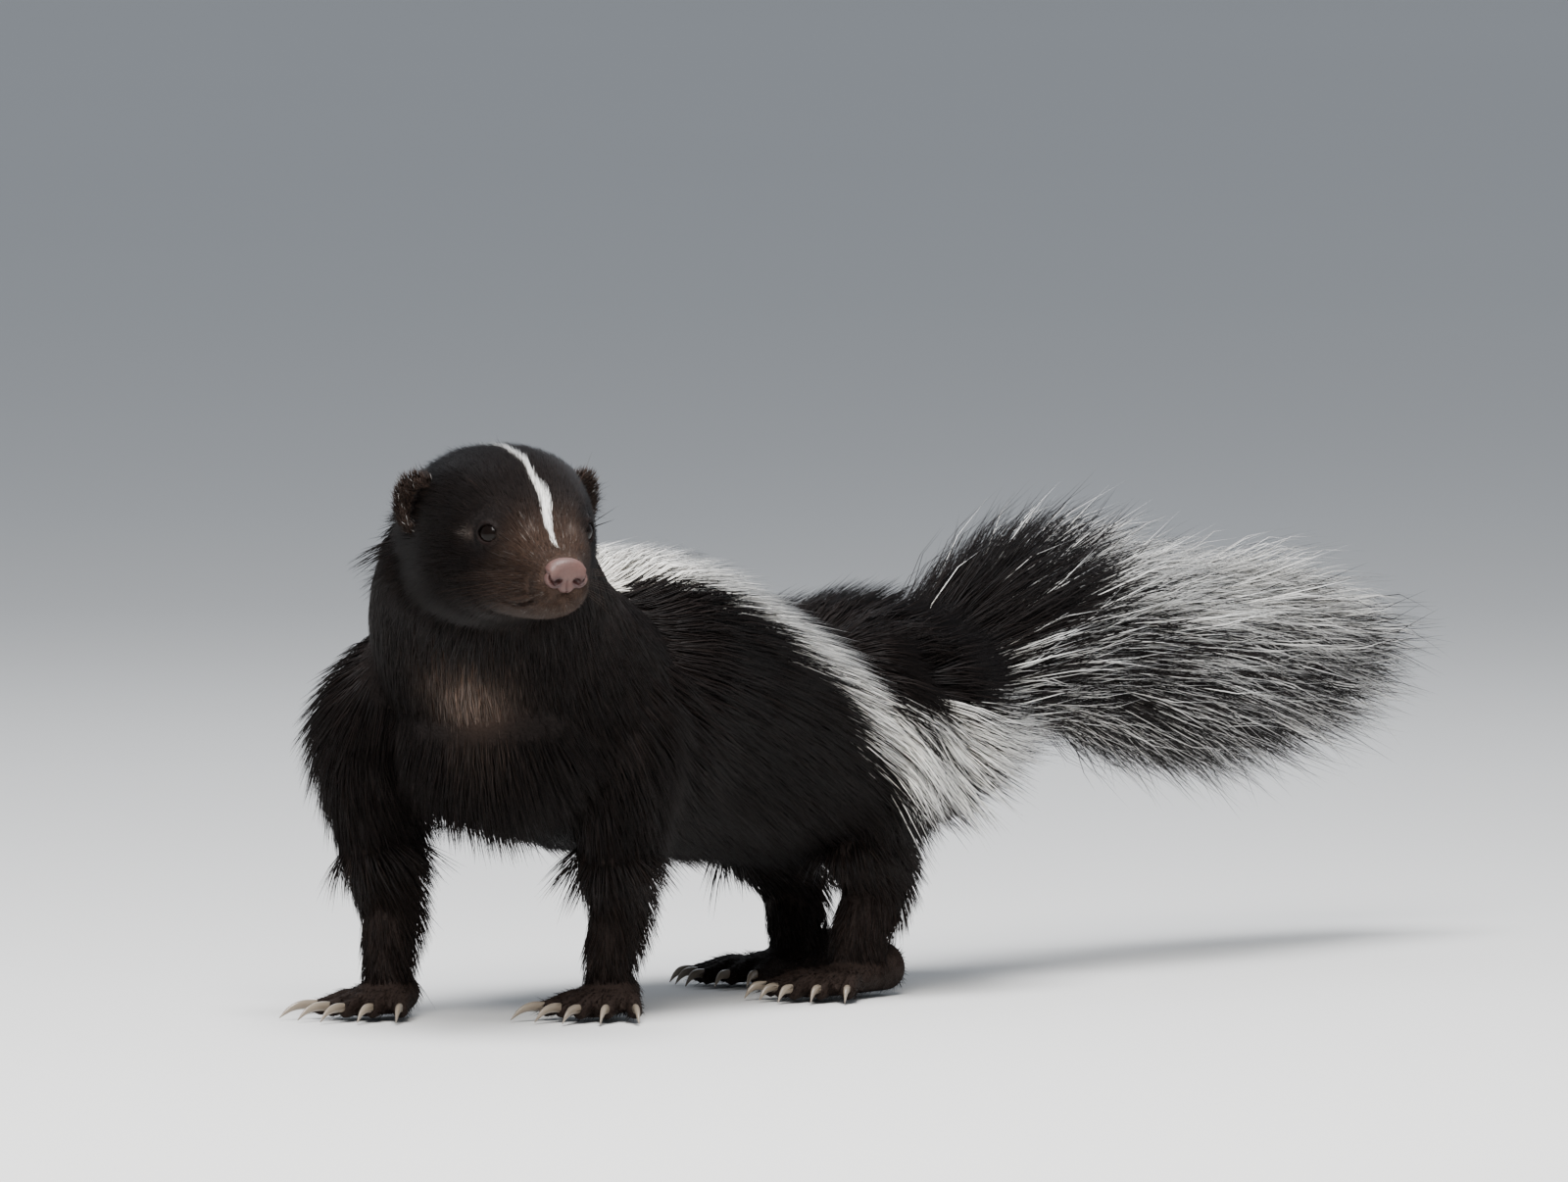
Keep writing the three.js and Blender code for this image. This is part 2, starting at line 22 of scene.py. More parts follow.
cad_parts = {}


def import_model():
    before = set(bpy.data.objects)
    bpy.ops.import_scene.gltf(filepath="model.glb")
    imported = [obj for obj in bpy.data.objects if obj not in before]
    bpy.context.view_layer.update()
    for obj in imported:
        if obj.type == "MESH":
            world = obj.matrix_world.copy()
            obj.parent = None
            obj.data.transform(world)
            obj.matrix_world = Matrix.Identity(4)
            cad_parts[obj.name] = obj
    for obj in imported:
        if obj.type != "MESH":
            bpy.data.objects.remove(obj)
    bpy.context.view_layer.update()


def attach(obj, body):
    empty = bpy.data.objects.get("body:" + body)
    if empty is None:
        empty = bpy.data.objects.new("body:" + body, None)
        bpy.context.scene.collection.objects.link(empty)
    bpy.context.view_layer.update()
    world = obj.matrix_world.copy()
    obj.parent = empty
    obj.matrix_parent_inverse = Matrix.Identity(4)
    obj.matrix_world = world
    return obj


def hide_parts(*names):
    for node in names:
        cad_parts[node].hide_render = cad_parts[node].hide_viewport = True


LOG = logging.getLogger("skunk")
MM = 0.001
SEED = 7
# Where the origin lies, in the frame that the spine is drawn in
MIDDLE = np.array([-115.0, 15.7, 0.0])
# How sharply the spine bows to the left, ahead of the middle of the body and behind it
BOWS = (0.0011, 0.0005)
# The layer that keeps what the colours are mixed from
FACTS = "coat_facts"
BAKE_MAP = "OFBake"
# How wide the place of one strand is on the unwrap, and how near to its rim one may lie
PATCH = 0.003
CHART_RIM = 0.002
# How high the lowest skin and the lowest hair lie above the floor, in millimetres
LOWEST_SKIN = 0.4
LOWEST_HAIR = 0.5
# How thick a strand is from its root to its tip, as shares of its width, and how high it is
TAPER_AT = (0.0, 0.3, 0.7, 1.0)
TAPER = (0.8, 1.0, 0.62, 0.2)
STRAND_HEIGHT = 0.75


class Cut(Enum):
    """What one solid does to another."""

    JOIN = "UNION"
    TAKE = "DIFFERENCE"


class Side(Enum):
    """A side of the animal, by the sign of its y."""

    RIGHT = -1
    LEFT = 1


class Zone(Enum):
    """A region of the coat, which has its own length and lie."""

    TRUNK = 0
    LIMB = 1
    NECK = 2
    HEAD = 3
    EAR = 4
    TAIL = 5
    LEG = 6
    PAW = 7


def smooth_step(low: float, high: float, value: np.ndarray) -> np.ndarray:
    """Rises smoothly from 0 at low to 1 at high."""
    share = np.clip((value - low) / (high - low), 0.0, 1.0)
    return share * share * (3.0 - 2.0 * share)


def unit(vectors: np.ndarray) -> np.ndarray:
    """The same directions, one long."""
    return vectors / np.maximum(np.linalg.norm(vectors, axis=-1, keepdims=True), 1e-9)


def read_run(values: Sequence, share: np.ndarray) -> np.ndarray:
    """Reads a smooth run through evenly spaced values.

    Args:
        values: The numbers or points that the run passes through.
        share: Where it is read, from 0 to 1.

    Returns:
        One number or point for each share.
    """
    knots = np.asarray(values, float)
    last = len(knots) - 1
    spot = np.clip(share, 0.0, 1.0) * last
    index = np.minimum(spot.astype(int), last - 1)
    part = spot - index
    if knots.ndim > 1:
        part = part[:, None]
    before, start, end, after = (knots[np.clip(index + step, 0, last)] for step in (-1, 0, 1, 2))
    leave = (end - before) / 2
    arrive = (after - start) / 2
    cubic = 2 * start - 2 * end + leave + arrive
    square = 3 * end - 3 * start - 2 * leave - arrive
    return ((cubic * part + square) * part + leave) * part + start


def distance_to_path(points: np.ndarray, path: np.ndarray) -> tuple[np.ndarray, np.ndarray]:
    """Measures how far points lie from a path of straight runs.

    Args:
        points: The points.
        path: The path's corners in order.

    Returns:
        The distance of each point, and how far along the path its nearest spot is, 0 to 1.
    """
    best = np.full(len(points), 1e9)
    along = np.zeros(len(points))
    runs = len(path) - 1
    for index in range(runs):
        start = path[index]
        run = path[index + 1] - start
        share = np.clip((points - start) @ run / (run @ run), 0.0, 1.0)
        distance = np.linalg.norm(points - start - share[:, None] * run, axis=1)
        nearer = distance < best
        best[nearer] = distance[nearer]
        along[nearer] = (index + share[nearer]) / runs
    return best, along


def tree_of(points: np.ndarray) -> KDTree:
    """Makes a tree that finds the nearest of the points.

    Args:
        points: The points.

    Returns:
        The tree.
    """
    tree = KDTree(len(points))
    for index, point in enumerate(points):
        tree.insert(point, index)
    tree.balance()
    return tree


def nearest_in(tree: KDTree, points: np.ndarray) -> np.ndarray:
    """The index of the tree's point that is nearest to each point."""
    return np.array([tree.find(point)[1] for point in points])


def mirrored(at: Sequence, side: Side) -> tuple:
    """A place or a direction that is given for the left, on either side."""
    x, y, z = at
    return (x, y * side.value, z)


def moved(points: np.ndarray, place: Matrix) -> np.ndarray:
    """Points of a frame, set where the frame stands."""
    matrix = np.array(place)
    return points @ matrix[:3, :3].T + matrix[:3, 3]


def bow_of(x: np.ndarray) -> np.ndarray:
    """How far the spine bows to the left at a place along it."""
    return np.where(x > 0, *BOWS) * x * x


@dataclass
class Form:
    """A form whose sections follow a path, with rounded ends.

    Widths and heights are half sizes. The angle of a section runs from the right side over
    the top, and place sets the form in the animal.
    """

    points: Sequence
    width: Sequence
    above: Sequence
    zone: Zone
    below: Sequence | None = None
    up: tuple = (0.0, 0.0, 1.0)
    square: float = 1.0
    cap: float = 0.7
    place: Matrix = field(default_factory=lambda: Matrix.Identity(4))

    def frame(self, share: np.ndarray) -> tuple[np.ndarray, np.ndarray, np.ndarray, np.ndarray]:
        """Reads the sections' places.

        Args:
            share: Where along the path, from 0 to 1.

        Returns:
            The centre of each section, and its directions along, sideways and up.
        """
        step = 0.01
        centre = read_run(self.points, share)
        ahead = read_run(self.points, np.minimum(share + step, 1.0))
        behind = read_run(self.points, np.maximum(share - step, 0.0))
        along = unit(ahead - behind)
        sideways = unit(np.cross(along, np.array(self.up)))
        return centre, along, sideways, np.cross(sideways, along)

    def surface(
        self,
        share: np.ndarray,
        angle: np.ndarray,
        grow: float = 0.0,
        scale: np.ndarray | float = 1.0,
        lead: np.ndarray | float = 0.0,
    ) -> np.ndarray:
        """Finds points of the surface.

        Args:
            share: Where along the path, from 0 to 1.
            angle: Where round the section.
            grow: How far the form is grown outwards.
            scale: A share of the section's size.
            lead: A shift along the path.

        Returns:
            The points, in the animal's own frame.
        """
        centre, along, sideways, up = self.frame(share)
        across = np.cos(angle)
        lift = np.sin(angle)
        across = np.sign(across) * np.abs(across) ** self.square
        lift = np.sign(lift) * np.abs(lift) ** self.square
        above = read_run(self.above, share)
        below = above if self.below is None else read_run(self.below, share)
        reach = np.where(lift > 0, above, below) + grow
        wide = read_run(self.width, share) + grow
        scale = np.broadcast_to(scale, share.shape)
        lead = np.broadcast_to(lead, share.shape)
        local = (
            centre
            + sideways * (across * wide * scale)[:, None]
            + up * (lift * reach * scale)[:, None]
            + along * lead[:, None]
        )
        return moved(local, self.place)

    def add_shell(self, bm: bmesh.types.BMesh, sides: int, rows: int, grow: float) -> None:
        """Adds the closed form to a mesh, as a ball drawn out along the path.

        Args:
            bm: The mesh that it is added to.
            sides: Faces round the form.
            rows: Rows of faces from end to end.
            grow: How far it is grown outwards; less than 0 sinks it.
        """
        made = bmesh.ops.create_uvsphere(bm, u_segments=sides, v_segments=rows, radius=1.0)
        ball = np.array([vert.co for vert in made["verts"]])
        rise = np.arccos(np.clip(ball[:, 2], -1.0, 1.0)) / math.pi
        angle = np.arctan2(ball[:, 1], ball[:, 0])
        round_end = 0.18
        turn = np.minimum(np.minimum(rise, 1.0 - rise) / round_end, 1.0) * math.pi / 2
        share = np.clip((rise - round_end) / (1.0 - 2.0 * round_end), 0.0, 1.0)
        start, end = ((self.width[spot] + self.above[spot]) / 2 for spot in (0, -1))
        first = rise < 0.5
        reach = self.cap * np.where(first, start, end) + grow
        lead = np.where(first, -1.0, 1.0) * reach * np.cos(turn)
        points = self.surface(share, angle, grow, np.sin(turn), lead)
        for vert, point in zip(made["verts"], points):
            vert.co = Vector(point)

    def samples(
        self, along: int, around: int, grow: float
    ) -> tuple[np.ndarray, np.ndarray, np.ndarray]:
        """Spreads points evenly over the form.

        Args:
            along: How many stand along the path.
            around: How many stand round each section.
            grow: How far outside the form they lie.

        Returns:
            The points, and each one's share along and angle round.
        """
        share, angle = np.meshgrid(
            np.linspace(0.0, 1.0, along), np.linspace(-math.pi, math.pi, around, endpoint=False)
        )
        share = share.ravel()
        angle = angle.ravel()
        return self.surface(share, angle, grow), share, angle


def add_ellipsoid(
    bm: bmesh.types.BMesh, at: tuple, half: tuple, turns: tuple = (0, 0, 0), sides: int = 24
) -> None:
    """Adds an ellipsoid to a mesh.

    Args:
        bm: The mesh that it is added to.
        at: Its middle.
        half: Its half sizes.
        turns: Its turns about x, y and z.
        sides: Faces round it.
    """
    turned = Euler(turns, "XYZ").to_matrix().to_4x4()
    place = Matrix.Translation(at) @ turned @ Matrix.Diagonal((*half, 1.0))
    rows = sides * 2 // 3
    bmesh.ops.create_uvsphere(bm, u_segments=sides, v_segments=rows, radius=1.0, matrix=place)


def to_mesh(name: str, bm: bmesh.types.BMesh) -> bpy.types.Mesh:
    """Turns a working mesh into a finished one with its faces outwards.

    Args:
        name: The mesh's name.
        bm: The working mesh, which is freed.

    Returns:
        The mesh.
    """
    bmesh.ops.recalc_face_normals(bm, faces=bm.faces)
    mesh = bpy.data.meshes.new(name)
    bm.to_mesh(mesh)
    bm.free()
    return mesh


def to_object(name: str, mesh: bpy.types.Mesh) -> bpy.types.Object:
    """Puts a mesh in the scene under a name.

    Args:
        name: The name.
        mesh: The mesh, which takes the name too.

    Returns:
        The piece.
    """
    mesh.name = name
    piece = bpy.data.objects.new(name, mesh)
    bpy.context.scene.collection.objects.link(piece)
    return piece


def applied(piece: bpy.types.Object) -> bpy.types.Mesh:
    """Works out a piece's modifiers and takes the piece away.

    Args:
        piece: The piece with its modifiers.

    Returns:
        The mesh that they leave.
    """
    graph = bpy.context.evaluated_depsgraph_get()
    mesh = bpy.data.meshes.new_from_object(piece.evaluated_get(graph))
    bpy.data.objects.remove(piece)
    return mesh


def remeshed(mesh: bpy.types.Mesh, voxel: float, rounds: int) -> bpy.types.Mesh:
    """Makes one even, closed surface of shells that overlap.

    Args:
        mesh: The shells.
        voxel: The size of the new faces.
        rounds: How often the surface is smoothed.

    Returns:
        The new surface.
    """
    piece = to_object("work", mesh)
    even = piece.modifiers.new("even", "REMESH")
    even.mode = "VOXEL"
    even.voxel_size = voxel
    soft = piece.modifiers.new("soft", "SMOOTH")
    soft.iterations = rounds
    soft.factor = 0.5
    return applied(piece)


def combined(mesh: bpy.types.Mesh, other: bpy.types.Mesh, how: Cut) -> bpy.types.Mesh:
    """Joins a solid to a mesh or cuts it out.

    Args:
        mesh: The mesh that is kept.
        other: The solid that is joined or cut.
        how: What the solid does to the mesh.

    Returns:
        The new surface.
    """
    piece = to_object("work", mesh)
    tool = to_object("tool", other)
    cut = piece.modifiers.new("cut", "BOOLEAN")
    cut.operation = how.value
    cut.solver = "MANIFOLD"
    cut.object = tool
    result = applied(piece)
    bpy.data.objects.remove(tool)
    return result


def rows_of(items: bpy.types.bpy_prop_collection, name: str, width: int, kind: type) -> np.ndarray:
    """Reads one property of the items of a mesh.

    Args:
        items: The vertices, edges or triangles.
        name: The property.
        width: How many numbers it has.
        kind: The kind of the numbers.

    Returns:
        A row for each item.
    """
    flat = np.empty(len(items) * width, kind)
    items.foreach_get(name, flat)
    return flat.reshape(-1, width)


def points_of(mesh: bpy.types.Mesh) -> np.ndarray:
    """The places of a mesh's vertices."""
    return rows_of(mesh.vertices, "co", 3, float)


def normals_of(mesh: bpy.types.Mesh) -> np.ndarray:
    """The way out of a mesh at each vertex."""
    return rows_of(mesh.vertex_normals, "vector", 3, float)


def set_points(mesh: bpy.types.Mesh, points: np.ndarray) -> None:
    """Moves a mesh's vertices to new places."""
    mesh.vertices.foreach_set("co", np.ascontiguousarray(points, dtype=np.float32).ravel())
    mesh.update()


def to_metres(mesh: bpy.types.Mesh) -> bpy.types.Mesh:
    """The same mesh, brought from millimetres to metres."""
    set_points(mesh, points_of(mesh) * MM)
    return mesh


def write_facts(mesh: bpy.types.Mesh, facts: np.ndarray) -> None:
    """Keeps four numbers for each vertex, which its colour is mixed from."""
    layer = mesh.attributes.new(FACTS, "FLOAT_COLOR", "POINT")
    layer.data.foreach_set("color", facts.ravel())


def in_metres(points: np.ndarray) -> np.ndarray:
    """Places of the spine's frame, as metres from the origin."""
    return (points - MIDDLE) * MM


def in_body(points: np.ndarray) -> np.ndarray:
    """Places in metres from the origin, as millimetres of the spine's frame."""
    return points / MM + MIDDLE


@dataclass
class Limb:
    """One leg, from inside the body to the ground, with the sizes of a foreleg."""

    name: str
    foot: tuple
    turn: float
    start: tuple
    bend: tuple
    upper_width: tuple = (12, 20, 20, 14)
    upper_depth: tuple = (18, 25, 23, 18)
    leg_width: tuple = (14, 11.5, 10, 9.5)
    leg_depth: tuple = (16, 13, 11, 10.5)
    leg_bend: float = -4.0
    wrist: float = 19.0
    palm: tuple = (-6.0, 15.0)
    palm_width: tuple = (9, 11.5, 11)
    palm_height: tuple = (17, 13.5, 9)
    toe_length: float = 13.0
    toe_radius: float = 4.0
    claw_length: float = 13.0
    claw_radius: float = 1.4
    knee_height: float = 56.0
    into_foot: float = 9.0
    sole_flat: float = 0.6
    toes: int = 5
    fan: float = 0.24
    # how far a toe's root lies behind the palm's front, and how its fan moves it back and aside
    toe_root: float = 8.0
    toe_back: float = 14.0
    toe_aside: float = 15.0

    def knee(self) -> np.ndarray:
        """Where the limb passes from the body into the leg.

        Returns:
            The place.
        """
        bend = np.array(self.bend)
        share = (bend[2] - self.knee_height) / bend[2]
        return bend + (np.array([*self.foot, 0.0]) - bend) * share

    def place(self) -> Matrix:
        """How the foot stands and turns."""
        return Matrix.Translation((*self.foot, 0.0)) @ Matrix.Rotation(math.radians(self.turn), 4, "Z")

    def upper(self) -> Form:
        """The shoulder or haunch, down to where the leg starts.

        Returns:
            The form.
        """
        start = np.array(self.start)
        bend = np.array(self.bend)
        points = [start, start + (bend - start) * 0.55, bend, self.knee()]
        return Form(points, self.upper_width, self.upper_depth, Zone.LIMB, up=(1, 0, 0), cap=0.6)

    def leg(self) -> Form:
        """The leg, from inside the upper limb to inside the foot.

        Returns:
            The form.
        """
        knee = self.knee()
        ankle = np.array([*self.foot, self.wrist])
        shin = (knee + ankle) / 2 + np.array([self.leg_bend, 0.0, 0.0])
        points = [knee, shin, ankle, ankle - np.array([0.0, 0.0, self.into_foot])]
        return Form(points, self.leg_width, self.leg_depth, Zone.LEG, up=(1, 0, 0), cap=0.6)

    def sole(self) -> Form:
        """The palm of the foot, with its heel.

        Returns:
            The form.
        """
        back, front = self.palm
        places = (back, (back + front) / 2, front)
        above = [size / 2 for size in self.palm_height]
        points = [(x, 0.0, height) for x, height in zip(places, above)]
        below = [size - self.sole_flat for size in above]
        return Form(points, self.palm_width, above, Zone.PAW, below=below, cap=0.6, place=self.place())

    def toe_reach(self) -> float:
        """How far a toe's tip is from its root."""
        return self.toe_root + self.toe_length

    def toe_at(self, index: int, reach: float, height: float) -> tuple:
        """A place along one toe.

        Args:
            index: Which toe, counted from the right.
            reach: How far from the toe's root.
            height: How high above the floor.

        Returns:
            The place, in the foot's own frame.
        """
        fan = (index - (self.toes - 1) / 2) * self.fan
        x = self.palm[1] - self.toe_root - self.toe_back * abs(fan) + reach * math.cos(fan)
        y = self.toe_aside * fan + reach * math.sin(fan)
        return (x, y, height)

    def toe(self, index: int) -> Form:
        """One toe, with its knuckle and the pad under its tip.

        Args:
            index: Which toe, counted from the right.

        Returns:
            The form.
        """
        reach = self.toe_reach()
        radius = self.toe_radius
        points = [
            self.toe_at(index, 0.0, 6.2),
            self.toe_at(index, reach * 0.35, 6.6),
            self.toe_at(index, reach * 0.7, 5.0),
            self.toe_at(index, reach - 2.0, 4.1),
        ]
        width = [radius * 0.8, radius * 0.82, radius * 0.78, radius * 0.74]
        above = [radius * 0.9, radius * 0.92, radius * 0.8, radius * 0.74]
        below = [radius * 0.9, radius * 0.9, radius * 0.9, radius * 0.86]
        return Form(points, width, above, Zone.PAW, below=below, cap=0.8, place=self.place())

    def claw(self, index: int) -> Form:
        """One claw, curved to its point.

        Args:
            index: Which toe it grows on, counted from the right.

        Returns:
            The form.
        """
        reach = self.toe_reach()
        length = self.claw_length
        radius = self.claw_radius
        points = [
            self.toe_at(index, reach - 4.0, 4.6),
            self.toe_at(index, reach + length * 0.25, 5.0),
            self.toe_at(index, reach + length * 0.65, 3.8),
            self.toe_at(index, reach + length * 0.98, 0.9),
        ]
        width = [radius * 0.85, radius * 0.8, radius * 0.55, 0.12]
        above = [radius * 1.15, radius * 1.1, radius * 0.75, 0.15]
        return Form(points, width, above, Zone.PAW, cap=0.6, place=self.place())


@dataclass
class HindLeg(Limb):
    """A hind leg, with what differs from a foreleg."""

    upper_width: tuple = (18, 24, 22, 15)
    upper_depth: tuple = (26, 34, 30, 20)
    leg_width: tuple = (14, 12, 10.5, 10)
    leg_depth: tuple = (20, 16, 12.5, 12)
    leg_bend: float = -9.0
    wrist: float = 20.0
    palm: tuple = (-14.0, 28.0)
    palm_width: tuple = (9.5, 11, 12)
    palm_height: tuple = (19, 13, 9)
    toe_radius: float = 4.1
    claw_length: float = 7.0
    claw_radius: float = 1.35


@dataclass
class Head:
    """The head: its form, and where its features lie in its own frame, nose to +x."""

    at: tuple = (172.0, 76.0, 165.0)
    turn: float = 57.7
    nod: float = 9.0
    stations: tuple = (-50, -39, -28, -17, -6, 4, 14, 22.5)
    top: tuple = (14, 20, 23.5, 22.5, 17, 9, 2.5, -1.5)
    bottom: tuple = (-39, -38, -36, -33.5, -31, -28.5, -26, -22)
    half_width: tuple = (28, 30.5, 30.5, 27.5, 22.5, 17.5, 13.5, 9.2)
    # how deep the skin lies under the coat, from the nape to the muzzle
    depth: tuple = (4, 2.8, 2.4, 2.2, 1.8, 1.3, 1.0, 0.7)
    eye_at: tuple = (-1.5, 14.6, 0.0)
    eye_radius: float = 4.9
    eye_aim: tuple = (0.66, 0.75, 0.1)
    seat_gap: float = 0.05
    lid: float = 1.1
    # half the opening of the eye across, above and below
    opening: tuple = (3.7, 3.3, 3.0)
    rim_lift: float = 0.42
    rim_radius: float = 0.66
    nose_at: tuple = (27.2, 0.0, -8.2)
    nose_half: tuple = (4.0, 7.4, 5.6)
    ear_at: tuple = (-35.0, 27.6, 2.0)
    ear_half: tuple = (3.7, 8.2, 10.0)
    # half the breadth and height of the ear's cup, and how far it sinks past the middle
    ear_cup: tuple = (7.0, 8.6)
    ear_sink: float = 1.6
    ear_turn: float = 0.62
    ear_lean: float = 0.26
    # where the mouth's line starts and ends along the head, and how low it runs
    mouth: tuple = (0.73, 0.985)
    mouth_angle: float = 0.52
    mouth_sag: float = 0.1
    voxel: float = 0.55
    # what stands out or sinks in: where, how wide and how far
    swells: tuple = (
        ((-4.0, 12.5, 7.6), 3.2, 1.1),
        ((5.5, 11.0, -1.5), 2.8, -0.9),
        ((-10.0, 18.5, -3.0), 3.4, -0.6),
        ((-24.0, 27.0, -13.0), 8.0, 1.4),
        ((-17.0, 22.0, 9.0), 6.0, -0.8),
        ((12.0, 0.0, 3.0), 4.0, -0.5),
    )
    # the nostril's slit as it runs round the wing of the nose, across and up
    slit: tuple = ((4.2, -2.5), (5.6, -1.9), (6.6, -0.6), (6.9, 1.0), (6.5, 2.2))

    def place(self) -> Matrix:
        """How the head is carried.

        Returns:
            The head's own frame, in millimetres.
        """
        turn = Matrix.Rotation(math.radians(self.turn), 4, "Z")
        nod = Matrix.Rotation(math.radians(self.nod), 4, "Y")
        return Matrix.Translation(self.at) @ turn @ nod

    def place_in_metres(self) -> Matrix:
        """How the head is carried, for a mesh that is in metres from the origin.

        Returns:
            The head's own frame.
        """
        place = self.place()
        place.translation = place.translation * MM
        return Matrix.Translation(-Vector(MIDDLE) * MM) @ place

    def form(self, placed: bool = True) -> Form:
        """The skull with its flesh, under the coat.

        Args:
            placed: Whether it stands in the animal, or in the head's own frame.

        Returns:
            The form.
        """
        depth = np.array(self.depth)
        top = np.array(self.top) - depth
        bottom = np.array(self.bottom) + depth
        points = [(x, 0.0, (t + b) / 2) for x, t, b in zip(self.stations, top, bottom)]
        width = np.array(self.half_width) - depth
        place = self.place() if placed else Matrix.Identity(4)
        return Form(points, width, (top - bottom) / 2, Zone.HEAD, square=0.82, cap=0.5, place=place)

    def mouth_path(self, side: Side) -> np.ndarray:
        """Lays out the line of the mouth.

        Args:
            side: The side of the face.

        Returns:
            Its points, from the corner of the mouth to under the nose.
        """
        share = np.linspace(0.0, 1.0, 9)
        below = self.mouth_angle + self.mouth_sag * np.sin(share * math.pi)
        angle = -below if side is Side.RIGHT else math.pi + below
        start, end = self.mouth
        path = self.form(placed=False).surface(start + (end - start) * share, angle)
        front = path[-1] + np.array([2.6, 0.0, 0.7])
        front[1] = 0.0
        return np.vstack([path, front])

    def ear_frame(self, side: Side) -> Matrix:
        """How one ear is set on the head.

        Args:
            side: The side of the head.

        Returns:
            The ear's frame, in the head's own.
        """
        turned = Matrix.Rotation(side.value * self.ear_turn, 4, "Z")
        lean = Matrix.Rotation(-side.value * self.ear_lean, 4, "X")
        return Matrix.Translation(mirrored(self.ear_at, side)) @ turned @ lean

    def eye_frame(self, side: Side) -> Matrix:
        """How one eye looks: its x across, its y up and its z out.

        Args:
            side: The side of the head.

        Returns:
            The eye's frame, in the head's own.
        """
        out = Vector(mirrored(self.eye_aim, side)).normalized()
        across = Vector((0, 0, 1)).cross(out).normalized()
        turn = Matrix((across, out.cross(across), out)).transposed().to_4x4()
        return Matrix.Translation(mirrored(self.eye_at, side)) @ turn

    def at_eye(self, name: str, bm: bmesh.types.BMesh, side: Side) -> bpy.types.Mesh:
        """Sets what is built in an eye's frame where it belongs on the animal.

        Args:
            name: The first part of the mesh's name.
            bm: The mesh, in millimetres.
            side: The side of the face.

        Returns:
            The mesh, in metres from the origin.
        """
        frame = Matrix.Translation(-Vector(MIDDLE)) @ self.place() @ self.eye_frame(side)
        bmesh.ops.transform(bm, matrix=Matrix.Scale(MM, 4) @ frame, verts=bm.verts)
        return to_mesh(f"{name}_{side.name.lower()}", bm)

    def add_opening(self, bm: bmesh.types.BMesh, side: Side) -> None:
        """Adds the space between the lids to a cutter.

        Args:
            bm: The cutter.
            side: The side of the face.
        """
        half, upper, lower = self.opening
        steps = 12
        fullness = 0.8
        length = 14
        corners = []
        for sign, rise in ((1.0, upper), (-1.0, -lower)):
            for index in range(steps):
                across = sign * half * (1.0 - 2.0 * (index / steps))
                corners.append((across, rise * (1.0 - (across / half) ** 2) ** fullness, 0.0))
        frame = self.eye_frame(side)
        face = bm.faces.new([bm.verts.new(frame @ Vector(corner)) for corner in corners])
        raised = bmesh.ops.extrude_face_region(bm, geom=[face])
        top = [item for item in raised["geom"] if isinstance(item, bmesh.types.BMVert)]
        bmesh.ops.translate(bm, verts=top, vec=frame.to_3x3() @ Vector((0, 0, length)))

    def lids(self, side: Side) -> bpy.types.Mesh:
        """Builds the rims of one eye's lids: a rounded ring that lies on the eyeball.

        Args:
            side: The side of the face.

        Returns:
            The ring, in metres from the origin.
        """
        bm = bmesh.new()
        half, upper, lower = self.opening
        steps = 64
        sides = 12
        corner = 0.05
        rings = []
        for turn in (index / steps * 2.0 * math.pi for index in range(steps)):
            rise = (upper if math.sin(turn) > 0 else lower) * math.sin(turn)
            across = half * math.cos(turn) * (1.0 + corner * math.cos(turn) ** 8)
            forward = math.sqrt(self.eye_radius**2 - across**2 - rise**2)
            centre = Vector((across, rise, forward))
            out = centre.normalized()
            centre += out * self.rim_lift
            away = Vector((across / half, rise / upper, 0.0))
            away = (away - out * away.dot(out)).normalized()
            ring = []
            for spin in (step / sides * 2.0 * math.pi for step in range(sides)):
                wide = away * (self.rim_radius * math.cos(spin))
                ring.append(bm.verts.new(centre + wide + out * self.rim_radius * math.sin(spin)))
            rings.append(ring)
        for ring, ahead in zip(rings, rings[1:] + rings[:1]):
            for step in range(sides):
                after = (step + 1) % sides
                bm.faces.new((ring[step], ahead[step], ahead[after], ring[after]))
        return self.at_eye("lids", bm, side)

    def add_ear(self, bm: bmesh.types.BMesh, side: Side) -> None:
        """Adds one ear, with its cup, to the head's shells.

        Args:
            bm: The shells.
            side: The side of the head.
        """
        frame = self.ear_frame(side)
        shell = frame @ Matrix.Diagonal((*self.ear_half, 1.0))
        made = bmesh.ops.create_uvsphere(bm, u_segments=32, v_segments=24, radius=1.0, matrix=shell)
        inward = frame.inverted()
        breadth, height = self.ear_cup
        for vert in made["verts"]:
            local = inward @ vert.co
            if local.x > 0:
                dish = 1.0 - min((local.y / breadth) ** 2 + (local.z / height) ** 2, 1.0)
                local.x -= dish * (self.ear_half[0] + self.ear_sink)
                vert.co = inward.inverted() @ local

    def shells(self) -> bpy.types.Mesh:
        """The head's overlapping shells before they are made one surface.

        Returns:
            The shells, in the head's own frame and in metres.
        """
        bm = bmesh.new()
        self.form(placed=False).add_shell(bm, 64, 64, 0.0)
        x, _, z = self.nose_at
        for side in Side:
            add_ellipsoid(bm, mirrored(self.eye_at, side), (self.eye_radius + self.lid,) * 3)
            add_ellipsoid(bm, mirrored((x - 6.0, 4.2, z - 4.4), side), (7.5, 5.4, 6.0))
            self.add_ear(bm, side)
        add_ellipsoid(bm, (x - 3.5, 0.0, z), (5.0, 6.4, 4.9))
        add_ellipsoid(bm, (x - 8.0, 0.0, z - 9.4), (7.0, 6.0, 4.6))
        return to_metres(to_mesh("head_shells", bm))

